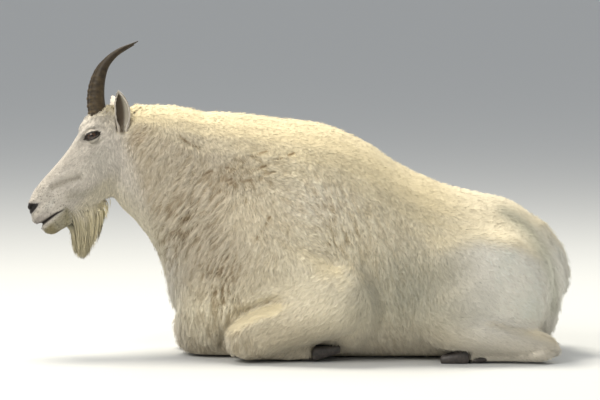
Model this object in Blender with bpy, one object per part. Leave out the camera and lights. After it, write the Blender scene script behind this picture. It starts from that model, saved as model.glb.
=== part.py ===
"""A mountain goat billy in its summer coat, lying down with its legs folded, life size.

The goat faces -X and its left side is at -Y. Its origin is on the floor, under the middle of its box.
The flesh is modelled as a few lofts and swellings, which are fused and smoothed as one surface. Thin cuts
then part that surface into the sub-parts. Sizes are in metres and angles in degrees.
"""

import math
import random

import bmesh
import bpy
import numpy as np
from mathutils import Matrix, Vector

# Gap left between neighbouring sub-parts.
GAP = 0.0003

# Voxel size, rounds of smoothing and number of triangles of the two fused surfaces.
BODY_VOXEL, BODY_ROUNDS, BODY_TRIANGLES = 0.0075, 10, 2500
HEAD_VOXEL, HEAD_ROUNDS, HEAD_TRIANGLES = 0.0034, 11, 2500

# How far outside a leg's own surface it is parted from the trunk, and how many triangles the
# parting surface has.
PART_OUT, PART_VOXEL, PART_TRIANGLES = 0.008, 0.013, 200

# Mid-line of the trunk. Each row is a section: back x, back z, belly x, belly z, half width.
TRUNK = (
    (-0.305, 0.470, -0.312, 0.030, 0.080),
    (-0.255, 0.602, -0.270, -0.006, 0.136),
    (-0.170, 0.612, -0.180, -0.008, 0.172),
    (-0.060, 0.600, -0.060, -0.008, 0.194),
    (0.060, 0.584, 0.060, -0.008, 0.208),
    (0.160, 0.542, 0.170, -0.008, 0.212),
    (0.250, 0.483, 0.270, -0.008, 0.210),
    (0.350, 0.437, 0.370, -0.008, 0.206),
    (0.440, 0.414, 0.450, -0.008, 0.197),
    (0.520, 0.396, 0.520, 0.000, 0.160),
    (0.585, 0.354, 0.575, 0.015, 0.125),
    (0.638, 0.282, 0.620, 0.040, 0.093),
    (0.666, 0.205, 0.645, 0.080, 0.052),
)

# Mid-line of the neck, from inside the trunk to inside the head: as for the trunk.
NECK = (
    (-0.160, 0.590, -0.225, 0.060, 0.130),
    (-0.250, 0.618, -0.314, 0.110, 0.130),
    (-0.305, 0.629, -0.334, 0.180, 0.121),
    (-0.345, 0.632, -0.352, 0.240, 0.110),
    (-0.378, 0.631, -0.378, 0.290, 0.100),
    (-0.408, 0.627, -0.412, 0.335, 0.091),
    (-0.436, 0.617, -0.446, 0.368, 0.082),
    (-0.462, 0.595, -0.470, 0.400, 0.068),
)

# How the sections are shaped: low_bias above 1 puts the widest place under the middle, and
# fullness under 1 squares a section up.
TRUNK_SHAPE = {"low_bias": 1.10, "fullness": 0.81}
NECK_SHAPE = {"low_bias": 1.02, "fullness": 0.95}
SKULL_SHAPE = {"low_bias": 0.86, "fullness": 0.84}

# Where the head is held: its crown, how far the face points down, its turn to the goat's left and
# how far it is tilted to the right.
CROWN = Vector((-0.4405, 0.0, 0.600))
FACE_DOWN = 46.0
HEAD_TURN = 7.5
HEAD_TILT = 7.0

# The head in its own frame, +X to the nose, +Y to the goat's left, +Z up from the crown. Rows as
# for the trunk, from the crown and throat to the nose and chin.
SKULL = (
    (-0.026, -0.010, 0.010, -0.098, 0.050),
    (0.008, 0.022, 0.036, -0.120, 0.061),
    (0.042, 0.045, 0.072, -0.129, 0.066),
    (0.078, 0.056, 0.108, -0.129, 0.067),
    (0.112, 0.050, 0.142, -0.126, 0.062),
    (0.150, 0.042, 0.176, -0.119, 0.056),
    (0.190, 0.037, 0.211, -0.110, 0.050),
    (0.230, 0.035, 0.246, -0.102, 0.046),
    (0.268, 0.033, 0.280, -0.096, 0.043),
    (0.298, 0.028, 0.308, -0.092, 0.041),
    (0.321, 0.015, 0.331, -0.085, 0.036),
    (0.336, -0.006, 0.346, -0.068, 0.026),
)

# Swellings of the head: centre x, y, z and radii x, y, z. Those off the mid-line are made on both
# sides.
HEAD_SWELLINGS = {
    "masseter": (0.088, 0.036, -0.066, 0.060, 0.033, 0.052),
    "brow": (0.092, 0.043, 0.030, 0.046, 0.022, 0.021),
    "cheekbone": (0.116, 0.042, -0.004, 0.060, 0.022, 0.020),
    "temple": (0.040, 0.044, 0.002, 0.056, 0.023, 0.032),
    "horn_boss": (0.046, 0.030, 0.036, 0.036, 0.030, 0.028),
    "forelock": (0.076, 0.000, 0.046, 0.034, 0.036, 0.019),
    "nostril_wing": (0.310, 0.020, 0.000, 0.028, 0.018, 0.022),
    "upper_lip": (0.308, 0.019, -0.024, 0.040, 0.021, 0.022),
}

# Legs: rows of x, y, z, radius from the trunk outwards.
FORELEG_LEFT = (
    (-0.090, -0.118, 0.290, 0.078),
    (0.000, -0.136, 0.235, 0.088),
    (0.074, -0.156, 0.166, 0.096),
    (0.000, -0.160, 0.112, 0.074),
    (-0.070, -0.156, 0.080, 0.062),
    (-0.128, -0.150, 0.058, 0.060),
)
FORELEG_RIGHT = (
    (-0.150, 0.118, 0.290, 0.078),
    (-0.080, 0.134, 0.235, 0.088),
    (-0.010, 0.154, 0.166, 0.094),
    (-0.100, 0.150, 0.112, 0.072),
    (-0.190, 0.134, 0.080, 0.061),
    (-0.266, 0.120, 0.058, 0.059),
)
THIGH = (
    (0.505, -0.100, 0.224, 0.106),
    (0.430, -0.124, 0.176, 0.102),
    (0.352, -0.156, 0.124, 0.086),
)
SHANK = (
    (0.370, -0.170, 0.096, 0.066),
    (0.470, -0.172, 0.070, 0.052),
    (0.556, -0.164, 0.048, 0.044),
    (0.600, -0.158, 0.038, 0.042),
)
TAIL = (
    (0.586, 0.000, 0.318, 0.036),
    (0.630, 0.000, 0.268, 0.032),
    (0.655, 0.000, 0.216, 0.025),
    (0.668, 0.000, 0.172, 0.012),
)

# The haunch, and the elbow of each foreleg: centre and radii.
HAUNCH_CENTRE, HAUNCH_RADII = Vector((0.484, -0.112, 0.190)), (0.148, 0.102, 0.150)
ELBOW_LEFT, ELBOW_RIGHT = Vector((0.101, -0.176, 0.158)), Vector((0.016, 0.174, 0.158))
ELBOW_RADII = (0.072, 0.076, 0.088)

# Cannon bones with their pasterns, on the floor under the folded legs, and where each pair is.
CANNON_FORE = (
    (-0.134, 0.000, 0.025, 0.026),
    (-0.070, 0.006, 0.021, 0.021),
    (-0.010, 0.010, 0.022, 0.024),
    (0.026, 0.012, 0.025, 0.021),
)
CANNON_HIND = (
    (0.596, 0.000, 0.026, 0.027),
    (0.520, 0.012, 0.021, 0.021),
    (0.456, 0.018, 0.023, 0.025),
    (0.420, 0.020, 0.026, 0.022),
)
CANNON_PLACES = {
    "fore_left": Vector((0.000, -0.146, 0.0)),
    "fore_right": Vector((-0.140, 0.120, 0.0)),
    "hind_left": Vector((0.000, -0.184, 0.0)),
    "hind_right": Vector((0.000, 0.184, 0.0)),
}

# One claw of a hoof: its length, width, height at the heel and how far apart the pair stands.
HOOF_LENGTH, HOOF_WIDTH, HOOF_HEIGHT, HOOF_SPREAD = 0.070, 0.024, 0.040, 0.0270
DEWCLAW_LENGTH, DEWCLAW_RADIUS = 0.024, 0.0085

# Horns in the head frame: rows of x, y, z, radius from inside the head to the tip, and how much
# narrower they are across than from front to back.
HORN = (
    (0.060, 0.030, 0.025, 0.0200),
    (0.044, 0.032, 0.048, 0.0202),
    (0.016, 0.037, 0.081, 0.0192),
    (-0.017, 0.042, 0.1065, 0.0162),
    (-0.057, 0.048, 0.1225, 0.0115),
    (-0.103, 0.053, 0.1205, 0.0068),
    (-0.153, 0.056, 0.104, 0.0010),
)
HORN_ACROSS = 0.82
HORN_STEPS, HORN_SIDES = 30, 10
ANNULI, ANNULUS_DEPTH, ANNULI_END = 9, 0.050, 0.62

# Ears: root, the way that they point, the way that the cup opens, blade length and half width,
# how deep the cup is, and its wall.
EAR_ROOT = Vector((0.038, 0.056, -0.028))
EAR_WAY = Vector((-0.58, 0.34, 0.74))
EAR_FACING = Vector((0.30, 0.94, -0.10))
EAR_LENGTH, EAR_HALF_WIDTH, EAR_CUP, EAR_WALL = 0.110, 0.0205, 0.0160, 0.0036
EAR_SUNK = 0.016

# Eyes: ball radius and centre, the way that they look, wall of the lids, and the lids' opening.
EYE_RADIUS = 0.0155
EYE_CENTRE = Vector((0.094, 0.0490, 0.0210))
EYE_WAY = Vector((0.30, 0.94, 0.14))
LID_WALL = 0.0034
LID_HALF_LENGTH, LID_HALF_HEIGHT, LID_TILT = 0.0180, 0.0084, 14.0

# The mouth in the head frame, and the cut that goes on from its corner along the lower jaw and down
# behind it: rows of x, z and how wide the parting is.
MOUTH = (
    (0.380, -0.0390, 0.0100),
    (0.322, -0.0450, 0.0070),
    (0.294, -0.0490, 0.0038),
    (0.272, -0.0550, 0.0012),
    (0.246, -0.0720, GAP),
    (0.172, -0.1040, GAP),
    (0.205, -0.3300, GAP),
)

# Nostrils: centre, half length, half height, depth and tilt of each pocket.
NOSTRIL = Vector((0.3200, 0.0270, 0.0010))
NOSTRIL_RADII, NOSTRIL_TILT = (0.0130, 0.0110, 0.0070), 34.0

# The beard: rows from its front to its back. Each row is the root's x and z in the head frame, the
# length of its locks and how far they sweep back from straight down.
BEARD = (
    (0.292, -0.083, 0.048, 6.0),
    (0.273, -0.089, 0.090, 4.0),
    (0.248, -0.095, 0.106, 3.0),
    (0.222, -0.103, 0.100, 6.0),
    (0.192, -0.110, 0.066, 12.0),
)
BEARD_COLUMNS, BEARD_ROWS = 9, (-0.025, -0.0130, 0.0, 0.0130, 0.025)
BEARD_SPLAY, SIDE_SHORTER, BEARD_SEED = 12.0, 0.20, 11

# A lock of hair: its half width and half thickness at its widest, both as shares of its length, and
# the least and most half width.
LOCK_WIDTH, LOCK_THICKNESS, LOCK_WIDTHS = 0.150, 0.066, (0.0075, 0.0145)

# Planes that part the neck from the head and the trunk: a point above, and one below.
NAPE_CUT = (Vector((-0.400, 0, 0.640)), Vector((-0.408, 0, 0.320)))
SHOULDER_CUT = (Vector((-0.235, 0, 0.640)), Vector((-0.352, 0, 0.180)))


def clear_scene():
    for old in list(bpy.data.objects):
        bpy.data.objects.remove(old, do_unlink=True)


def make_material(name, colour, roughness):
    made = bpy.data.materials.new(name)
    made.use_nodes = True
    made.diffuse_color = (*colour, 1.0)
    shader = made.node_tree.nodes["Principled BSDF"]
    shader.inputs["Base Color"].default_value = (*colour, 1.0)
    shader.inputs["Roughness"].default_value = roughness
    shader.inputs["Metallic"].default_value = 0.0
    return made


def through(rows, count):
    """Rows read at count even steps from the smooth curve that passes through the given rows."""
    rows = np.asarray(rows, float)
    padded = np.vstack([2 * rows[0] - rows[1], rows, 2 * rows[-1] - rows[-2]])
    found = []
    for step in np.linspace(0, len(rows) - 1, count):
        i = min(int(step), len(rows) - 2)
        t = step - i
        a, b, c, d = padded[i : i + 4]
        found.append(
            b
            + 0.5 * t * (c - a)
            + t * t * (a - 2.5 * b + 2 * c - 0.5 * d)
            + t**3 * (1.5 * (b - c) + 0.5 * (d - a))
        )
    return np.array(found)


def object_from(name, points, faces):
    mesh = bpy.data.meshes.new(name)
    mesh.from_pydata([tuple(map(float, p)) for p in points], [], faces)
    shape = bmesh.new()
    shape.from_mesh(mesh)
    bmesh.ops.recalc_face_normals(shape, faces=shape.faces)
    shape.to_mesh(mesh)
    shape.free()
    made = bpy.data.objects.new(name, mesh)
    bpy.context.scene.collection.objects.link(made)
    return made


def skin_rings(name, rings, start=None, end=None):
    """A closed tube through rings of equally many points, each end drawn to a point."""
    rings = [list(map(Vector, ring)) for ring in rings]
    sides = len(rings[0])
    points = [p for ring in rings for p in ring]
    faces = []
    for r in range(len(rings) - 1):
        for s in range(sides):
            a, b = r * sides + s, r * sides + (s + 1) % sides
            faces.append((a, b, b + sides, a + sides))
    for ring, tip, first in ((rings[0], start, 0), (rings[-1], end, len(points) - sides)):
        centre = tip if tip is not None else sum(ring, Vector()) / sides
        points.append(centre)
        for s in range(sides):
            faces.append((first + s, first + (s + 1) % sides, len(points) - 1))
    return object_from(name, points, faces)


def profile_loft(name, sections, low_bias, fullness, count=28, sides=28, grow=0.0):
    """A closed body between a back line and a belly line, with egg-shaped sections across it."""
    rings = []
    for back_x, back_z, belly_x, belly_z, half in through(sections, count):
        back, belly = Vector((back_x, 0, back_z)), Vector((belly_x, 0, belly_z))
        down = (belly - back).normalized() * grow
        back, belly = back - down, belly + down
        ring = []
        for s in range(sides):
            turn = 2 * math.pi * s / sides
            half_turn = min(turn, 2 * math.pi - turn)
            side = 1 if turn <= math.pi else -1
            spread = max(0.0, math.sin(math.pi * (half_turn / math.pi) ** low_bias)) ** fullness
            point = back.lerp(belly, (1 - math.cos(turn)) / 2)
            point.y = side * (half + grow) * spread
            ring.append(point)
        rings.append(ring)
    return skin_rings(name, rings)


def limb(name, joints, count=18, sides=20, grow=0.0, cap=(80, 60, 40, 20)):
    """A closed round-ended limb through rows of x, y, z, radius."""
    rows = through(joints, count)
    centres = [Vector(row[:3]) for row in rows]
    radii = [float(row[3]) + grow for row in rows]
    ways = [
        (centres[min(i + 1, count - 1)] - centres[max(i - 1, 0)]).normalized()
        for i in range(count)
    ]
    stations = []
    for lift in cap:
        out, shrink = math.sin(math.radians(lift)), math.cos(math.radians(lift))
        stations.append((centres[0] - ways[0] * radii[0] * out, ways[0], radii[0] * shrink))
    stations += list(zip(centres, ways, radii))
    for lift in cap[::-1]:
        out, shrink = math.sin(math.radians(lift)), math.cos(math.radians(lift))
        stations.append((centres[-1] + ways[-1] * radii[-1] * out, ways[-1], radii[-1] * shrink))
    rings = []
    across = ways[0].orthogonal().normalized()
    for centre, way, radius in stations:
        across = (across - way * across.dot(way)).normalized()
        other = way.cross(across)
        rings.append(
            [
                centre + radius * (math.cos(a) * across + math.sin(a) * other)
                for a in (2 * math.pi * s / sides for s in range(sides))
            ]
        )
    start = centres[0] - ways[0] * radii[0]
    end = centres[-1] + ways[-1] * radii[-1]
    return skin_rings(name, rings, start, end)


def ellipsoid(name, centre, radii, place=None, segments=24):
    shape = bmesh.new()
    bmesh.ops.create_uvsphere(shape, u_segments=segments, v_segments=segments // 2, radius=1.0)
    mesh = bpy.data.meshes.new(name)
    shape.to_mesh(mesh)
    shape.free()
    made = bpy.data.objects.new(name, mesh)
    bpy.context.scene.collection.objects.link(made)
    mesh.transform(Matrix.Translation(centre) @ Matrix.Diagonal((*radii, 1.0)))
    if place is not None:
        mesh.transform(place)
    return made


def mirrored(rows):
    """Leg rows of the goat's left side, turned into those of its right side."""
    return tuple((x, -y, z, radius) for x, y, z, radius in rows)


def moved(rows, offset):
    return tuple((x + offset[0], y + offset[1], z + offset[2], radius) for x, y, z, radius in rows)


def head_place():
    """The matrix that puts the head's own frame in its place on the neck."""
    down = math.radians(FACE_DOWN)
    forward = Vector((-math.cos(down), 0, -math.sin(down)))
    up = Vector((-math.sin(down), 0, math.cos(down)))
    left = up.cross(forward)
    axes = Matrix((forward, left, up)).transposed().to_4x4()
    turn = Matrix.Rotation(math.radians(HEAD_TURN), 4, "Z")
    tilt = Matrix.Rotation(-math.radians(HEAD_TILT), 4, "X")
    return Matrix.Translation(CROWN) @ tilt @ turn @ axes


def apply_modifiers(target):
    graph = bpy.context.evaluated_depsgraph_get()
    mesh = bpy.data.meshes.new_from_object(target.evaluated_get(graph))
    target.modifiers.clear()
    old, target.data = target.data, mesh
    bpy.data.meshes.remove(old)
    return target


def remove(objects):
    for old in objects:
        bpy.data.objects.remove(old, do_unlink=True)


def largest_shell(target):
    """Keeps only the largest closed surface of a mesh."""
    shape = bmesh.new()
    shape.from_mesh(target.data)
    left = set(shape.verts)
    shells = []
    while left:
        stack = [left.pop()]
        shell = set(stack)
        while stack:
            for edge in stack.pop().link_edges:
                for vert in edge.verts:
                    if vert in left:
                        left.remove(vert)
                        shell.add(vert)
                        stack.append(vert)
        shells.append(shell)

    def reach(shell):
        lows = [min(v.co[k] for v in shell) for k in range(3)]
        highs = [max(v.co[k] for v in shell) for k in range(3)]
        return sum((h - low) ** 2 for h, low in zip(highs, lows))

    shells.sort(key=reach, reverse=True)
    for shell in shells[1:]:
        bmesh.ops.delete(shape, geom=list(shell), context="VERTS")
    shape.to_mesh(target.data)
    shape.free()
    return target


def fuse(name, pieces, voxel, rounds, triangles):
    """One smooth closed surface out of overlapping pieces, with about the given number of triangles."""
    shape = bmesh.new()
    for piece in pieces:
        shape.from_mesh(piece.data)
    mesh = bpy.data.meshes.new(name)
    shape.to_mesh(mesh)
    shape.free()
    made = bpy.data.objects.new(name, mesh)
    bpy.context.scene.collection.objects.link(made)
    remesh = made.modifiers.new("Remesh", "REMESH")
    remesh.mode = "VOXEL"
    remesh.voxel_size = voxel
    smooth = made.modifiers.new("Smooth", "SMOOTH")
    smooth.factor = 0.5
    smooth.iterations = rounds
    apply_modifiers(made)
    largest_shell(made)
    decimate = made.modifiers.new("Decimate", "DECIMATE")
    decimate.ratio = triangles / (2 * len(made.data.polygons))
    apply_modifiers(made)
    return made


def is_closed(mesh):
    shape = bmesh.new()
    shape.from_mesh(mesh)
    closed = len(shape.faces) > 3 and all(len(edge.link_faces) == 2 for edge in shape.edges)
    shape.free()
    return closed


def combine(target, other, operation):
    """A Boolean by the solver for closed meshes, or by the exact one where that changes nothing."""
    before = target.data.copy()
    for solver in ("MANIFOLD", "EXACT"):
        target.data = before.copy()
        cut = target.modifiers.new("Combine", "BOOLEAN")
        cut.operation = operation
        cut.solver = solver
        cut.object = other
        apply_modifiers(target)
        changed = len(target.data.vertices) != len(before.vertices)
        if changed and is_closed(target.data):
            break
    bpy.data.meshes.remove(before)
    return target


def copy_of(target, name):
    made = bpy.data.objects.new(name, target.data.copy())
    bpy.context.scene.collection.objects.link(made)
    return made


def half_space(name, point, outward, size=3.0):
    """A big box that fills the side of a plane that outward points away from."""
    shape = bmesh.new()
    bmesh.ops.create_cube(shape, size=size)
    mesh = bpy.data.meshes.new(name)
    shape.to_mesh(mesh)
    shape.free()
    turn = outward.to_track_quat("Z", "Y").to_matrix().to_4x4()
    mesh.transform(Matrix.Translation(point) @ turn @ Matrix.Translation((0, 0, -size / 2)))
    made = bpy.data.objects.new(name, mesh)
    bpy.context.scene.collection.objects.link(made)
    return made


def plane_of(cut):
    """A point on a cut's plane, and the plane's normal, which points to the goat's front."""
    above, below = cut
    return above, (above - below).cross(Vector((0, 1, 0))).normalized()


def keep_side(target, cut, front):
    """Keeps what lies in front of a cut's plane or behind it, half a gap clear of the plane."""
    point, normal = plane_of(cut)
    outward = -normal if front else normal
    box = half_space("side", point - outward * GAP / 2, outward)
    combine(target, box, "INTERSECT")
    remove([box])
    return largest_shell(target)


def grown(target, name, distance):
    """A copy of a smooth closed mesh with its surface moved out by a distance."""
    made = copy_of(target, name)
    normals = [v.normal.copy() for v in made.data.vertices]
    for vertex, normal in zip(made.data.vertices, normals):
        vertex.co += normal * distance
    return made


def squash(target, centre_y, factor):
    """Narrows a mesh across the goat, about a given y."""
    for vertex in target.data.vertices:
        vertex.co.y = centre_y + (vertex.co.y - centre_y) * factor
    return target


def haunch(name, side, grow=0.0):
    centre = Vector((HAUNCH_CENTRE.x, side * -HAUNCH_CENTRE.y, HAUNCH_CENTRE.z))
    return ellipsoid(name, centre, [r + grow for r in HAUNCH_RADII])


def sided(rows, side):
    return rows if side < 0 else mirrored(rows)


def leg_pieces(name, grow=0.0):
    """The overlapping forms of one folded leg's flesh. Grown for a parting, a foreleg starts lower."""
    if name.startswith("foreleg"):
        left = name.endswith("left")
        rows, elbow = (FORELEG_LEFT, ELBOW_LEFT) if left else (FORELEG_RIGHT, ELBOW_RIGHT)
        radii = [r + grow for r in ELBOW_RADII]
        return [limb(name, rows[1:] if grow else rows, grow=grow), ellipsoid(name, elbow, radii)]
    side = -1 if name.endswith("left") else 1
    return [
        haunch(name, side, grow),
        limb(name, sided(THIGH, side), grow=grow),
        limb(name, sided(SHANK, side), grow=grow),
    ]


LEGS = ("foreleg_left", "foreleg_right", "hindleg_left", "hindleg_right")


def trunk_pieces():
    pieces = [
        profile_loft("trunk", TRUNK, count=40, sides=32, **TRUNK_SHAPE),
        profile_loft("neck", NECK, count=28, sides=28, **NECK_SHAPE),
        limb("tail", TAIL),
    ]
    for name in LEGS:
        pieces += leg_pieces(name)
    return pieces


def head_pieces():
    place = head_place()
    skull = profile_loft("skull", SKULL, count=40, sides=30, **SKULL_SHAPE)
    skull.data.transform(place)
    pieces = [skull]
    for name, (x, y, z, *radii) in HEAD_SWELLINGS.items():
        for side in (1, -1) if y else (1,):
            pieces.append(ellipsoid(name, Vector((x, y * side, z)), radii, place))
    return pieces


def parting(name):
    """The closed surface along which a leg is parted from the trunk."""
    pieces = leg_pieces(name, PART_OUT)
    made = fuse("parting_" + name, pieces, PART_VOXEL, 2, PART_TRIANGLES)
    remove(pieces)
    return made


def part_off(host, cutter, name):
    """Takes what lies inside the cutter from the host as a new node, with a thin gap between."""
    node = copy_of(host, name)
    combine(node, cutter, "INTERSECT")
    outer = grown(cutter, "outer", GAP)
    combine(host, outer, "DIFFERENCE")
    remove([outer])
    largest_shell(host)
    return largest_shell(node)


def seat(host, piece, grow=1.6 * GAP):
    """Makes room in a host for a piece that is set in it."""
    outer = grown(piece, "outer", grow)
    combine(host, outer, "DIFFERENCE")
    remove([outer])
    return largest_shell(host)


def lock(name, root, way, length, bend, across, width):
    """A flat lock of hair, diamond-shaped in section, that bends as it tapers to its tip."""
    steps, rings = 4, []
    thickness = width * LOCK_THICKNESS / LOCK_WIDTH
    point, heading = root.copy(), way.normalized()
    for i in range(steps):
        t = i / steps
        side = (across - heading * across.dot(heading)).normalized()
        flat = heading.cross(side)
        swell = (0.72, 1.0, 0.86, 0.50)[i]
        rings.append(
            [
                point + side * width * swell,
                point + flat * thickness * swell,
                point - side * width * swell,
                point - flat * thickness * swell,
            ]
        )
        point = point + heading * length / steps
        heading = (heading + bend / steps).normalized()
    return skin_rings(name, rings, end=point)


def join_locks(target, locks):
    """Joins many locks to a node in one union."""
    group = bpy.data.collections.new("locks")
    for piece in locks:
        group.objects.link(piece)
    before = target.data.copy()
    for solver in ("MANIFOLD", "EXACT"):
        target.data = before.copy()
        union = target.modifiers.new("Locks", "BOOLEAN")
        union.operation = "UNION"
        union.operand_type = "COLLECTION"
        union.collection = group
        union.solver = solver
        apply_modifiers(target)
        changed = len(target.data.vertices) != len(before.vertices)
        if changed and is_closed(target.data):
            break
    bpy.data.meshes.remove(before)
    remove(locks)
    bpy.data.collections.remove(group)
    return largest_shell(target)


def beard_locks(place):
    """Locks that hang from the lower jaw, longest in the middle of the beard."""
    rng = random.Random(BEARD_SEED)
    columns = through(BEARD, BEARD_COLUMNS)
    locks = []
    for column, (root_x, root_z, length, sweep) in enumerate(columns):
        for row, across in enumerate(BEARD_ROWS):
            if (column + row) % 2 and column in (0, BEARD_COLUMNS - 1):
                continue
            reach = across / max(BEARD_ROWS)
            lift = 0.012 * abs(reach)
            x = root_x + rng.uniform(-0.004, 0.004)
            root = place @ Vector((x, across * 0.8, root_z + lift))
            lean = math.radians(sweep + rng.uniform(-6, 6))
            splay = math.radians(-BEARD_SPLAY * reach + rng.uniform(-4, 4))
            way = Vector((math.sin(lean), math.sin(splay), -math.cos(lean)))
            size = length * (1 - SIDE_SHORTER * abs(reach)) * rng.uniform(0.80, 1.02)
            width = size * LOCK_WIDTH * rng.uniform(0.85, 1.15)
            width = min(max(width, LOCK_WIDTHS[0]), LOCK_WIDTHS[1])
            bend = Vector((rng.uniform(-0.2, 0.8), -0.9 * way.y + rng.uniform(-0.3, 0.3), 0))
            turn = math.radians(rng.uniform(-45, 45) + 65 * reach)
            flat = Vector((math.cos(turn), math.sin(turn), 0))
            locks.append(lock(f"lock_{len(locks)}", root, way, size, bend, flat, width))
    return locks


def beard_core(place):
    """The dense root of the beard, half as long as its locks."""
    rows = []
    for root_x, root_z, length, _ in BEARD[1:4]:
        middle = place @ Vector((root_x, 0, root_z))
        rows.append((*(middle + Vector((0.002, 0, -0.22 * length))), 0.22 * length))
    core = limb("core", rows, count=7, sides=12, cap=(60, 25))
    return squash(core, rows[1][1], 0.80)


def wedge(name, outline, half_width):
    """A closed prism across the head over an outline of points in its mid-plane."""
    count = len(outline)
    points = [p + Vector((0, side * half_width, 0)) for side in (-1, 1) for p in outline]
    faces = [tuple(range(count)), tuple(range(count, 2 * count))]
    faces += [(i, (i + 1) % count, count + (i + 1) % count, count + i) for i in range(count)]
    return object_from(name, points, faces)


def mouth_cutter(place):
    """The parting of the lips and the thin cut that frees the lower jaw."""
    path = [Vector((x, 0, z)) for x, z, _ in MOUTH]
    upper, lower = [], []
    for i, (point, (_, _, width)) in enumerate(zip(path, MOUTH)):
        way = (path[min(i + 1, len(path) - 1)] - path[max(i - 1, 0)]).normalized()
        side = way.cross(Vector((0, 1, 0))).normalized() * width / 2
        upper.append(point - side)
        lower.append(point + side)
    made = wedge("mouth", upper + lower[::-1], 0.12)
    made.data.transform(place)
    return made


def jaw_region(place):
    """A closed prism over all that lies under the mouth line and in front of the jaw's cut."""
    outline = [Vector((x, 0, z)) for x, z, _ in MOUTH] + [Vector((0.48, 0, -0.33))]
    made = wedge("jaw_region", outline, 0.13)
    made.data.transform(place)
    return made


def lids(head, side, place):
    """Sets a lid round the eyeball's place, then opens the socket and the slit between the lids."""
    centre = Vector((EYE_CENTRE.x, EYE_CENTRE.y * side, EYE_CENTRE.z))
    way = Vector((EYE_WAY.x, EYE_WAY.y * side, EYE_WAY.z)).normalized()
    cover = ellipsoid("lid", centre, [EYE_RADIUS + LID_WALL] * 3, place, 18)
    combine(head, cover, "UNION")
    socket = ellipsoid("socket", centre, [EYE_RADIUS + GAP] * 3, place, 16)
    combine(head, socket, "DIFFERENCE")
    along = Vector((1, 0, 0))
    along = (along - way * along.dot(way)).normalized()
    along = Matrix.Rotation(math.radians(LID_TILT) * -side, 3, way) @ along
    across = way.cross(along)
    sides, rings = 16, []
    for reach in (0.004, 0.030):
        ring = []
        for s in range(sides):
            turn = 2 * math.pi * s / sides
            pinch = abs(math.sin(turn)) ** 1.25 * math.copysign(1, math.sin(turn))
            flare = 1 + 0.15 * (reach > 0.01)
            ring.append(
                centre
                + way * reach
                + along * math.cos(turn) * LID_HALF_LENGTH * flare
                + across * pinch * LID_HALF_HEIGHT * flare
            )
        rings.append(ring)
    slit = skin_rings("slit", rings)
    slit.data.transform(place)
    combine(head, slit, "DIFFERENCE")
    remove([cover, socket, slit])
    return largest_shell(head)


def nostril(side, place):
    centre = Vector((NOSTRIL.x, NOSTRIL.y * side, NOSTRIL.z))
    made = ellipsoid("nostril", Vector(), NOSTRIL_RADII, None, 14)
    turn = Matrix.Rotation(math.radians(NOSTRIL_TILT) * -side, 4, "Z")
    lean = Matrix.Rotation(math.radians(24), 4, "Y")
    made.data.transform(place @ Matrix.Translation(centre) @ turn @ lean)
    return made


def horn(name, side, place):
    """A horn that curves back to a point, with rings of growth round its lower part."""
    rows = through(HORN, HORN_STEPS)
    centres = [Vector((row[0], row[1] * side, row[2])) for row in rows]
    rings = []
    for i, centre in enumerate(centres):
        t = i / (HORN_STEPS - 1)
        way = (centres[min(i + 1, HORN_STEPS - 1)] - centres[max(i - 1, 0)]).normalized()
        across = (Vector((0, 1, 0)) - way * way.y).normalized()
        front = across.cross(way)
        fade = max(0.0, 1 - t / ANNULI_END)
        swell = 1 + ANNULUS_DEPTH * fade**0.5 * math.cos(2 * math.pi * ANNULI * t / ANNULI_END)
        radius = float(rows[i][3]) * swell
        rings.append(
            [
                centre + radius * (math.cos(a) * front + HORN_ACROSS * math.sin(a) * across)
                for a in (2 * math.pi * s / HORN_SIDES for s in range(HORN_SIDES))
            ]
        )
    made = skin_rings(name, rings)
    made.data.transform(place)
    return made


def ear(name, side, place):
    """A leaf-shaped ear with a deep cup, whose foot is a closed stalk in the head."""
    way = EAR_WAY.normalized()
    facing = (EAR_FACING - way * EAR_FACING.dot(way)).normalized()
    across = way.cross(facing)
    half, steps, rings = 6, 12, []
    for i in range(steps):
        t = i / (steps - 1)
        reach = -EAR_SUNK + (EAR_LENGTH + EAR_SUNK) * t
        up = max(0.0, reach / EAR_LENGTH)
        leaf = (0.46 + 1.55 * up) * (1 - up**1.7) ** 0.75 if up < 1 else 0.0
        width = max(EAR_HALF_WIDTH * min(leaf, 1.02), 0.0022)
        open_up = min(1.0, max(0.0, (up - 0.10) / 0.22))
        cup = EAR_CUP * (width / EAR_HALF_WIDTH) ** 0.8
        wall = EAR_WALL + (1.5 * cup - EAR_WALL) * (1 - open_up)
        middle = EAR_ROOT + way * reach - facing * 0.022 * up * (1 - up)
        outer, inner = [], []
        for k in range(half + 1):
            turn = math.pi * k / half
            side_way = across * math.cos(turn)
            back = -facing * math.sin(turn)
            outer.append(middle + side_way * width + back * cup)
            thin = min(wall, 0.85 * cup + 0.001)
            inner.append(
                middle + side_way * max(width - 0.7 * thin, 0.3 * width) + back * (cup - thin)
            )
        ring = outer + inner[::-1]
        rings.append([Vector((p.x, p.y * side, p.z)) for p in ring])
    made = skin_rings(name, rings)
    made.data.transform(place)
    return made


def hoof_claw(name, toe_way, place_at, sole_up):
    """One claw: flat on its sole, rounded at the toe and outside, higher at the heel."""
    steps, sides, rings = 5, 8, []
    for i in range(steps):
        t = i / (steps - 1)
        width = HOOF_WIDTH / 2 * (1 - 0.75 * t**3)
        height = HOOF_HEIGHT * (1 - 0.55 * t)
        ring = []
        for s in range(sides):
            turn = 2 * math.pi * (s + 0.5) / sides
            flat = max(-0.72, math.sin(turn))
            z = height * (0.72 + flat) / 1.72
            if sole_up:
                z = HOOF_HEIGHT - z
            ring.append(Vector((toe_way * HOOF_LENGTH * t, width * math.cos(turn), z)))
        rings.append([place_at + point for point in ring])
    return skin_rings(name, rings)


def floor_box():
    return half_space("floor", Vector((0, 0, 0)), Vector((0, 0, 1)))


def on_floor(target, floor):
    combine(target, floor, "DIFFERENCE")
    return largest_shell(target)


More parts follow.
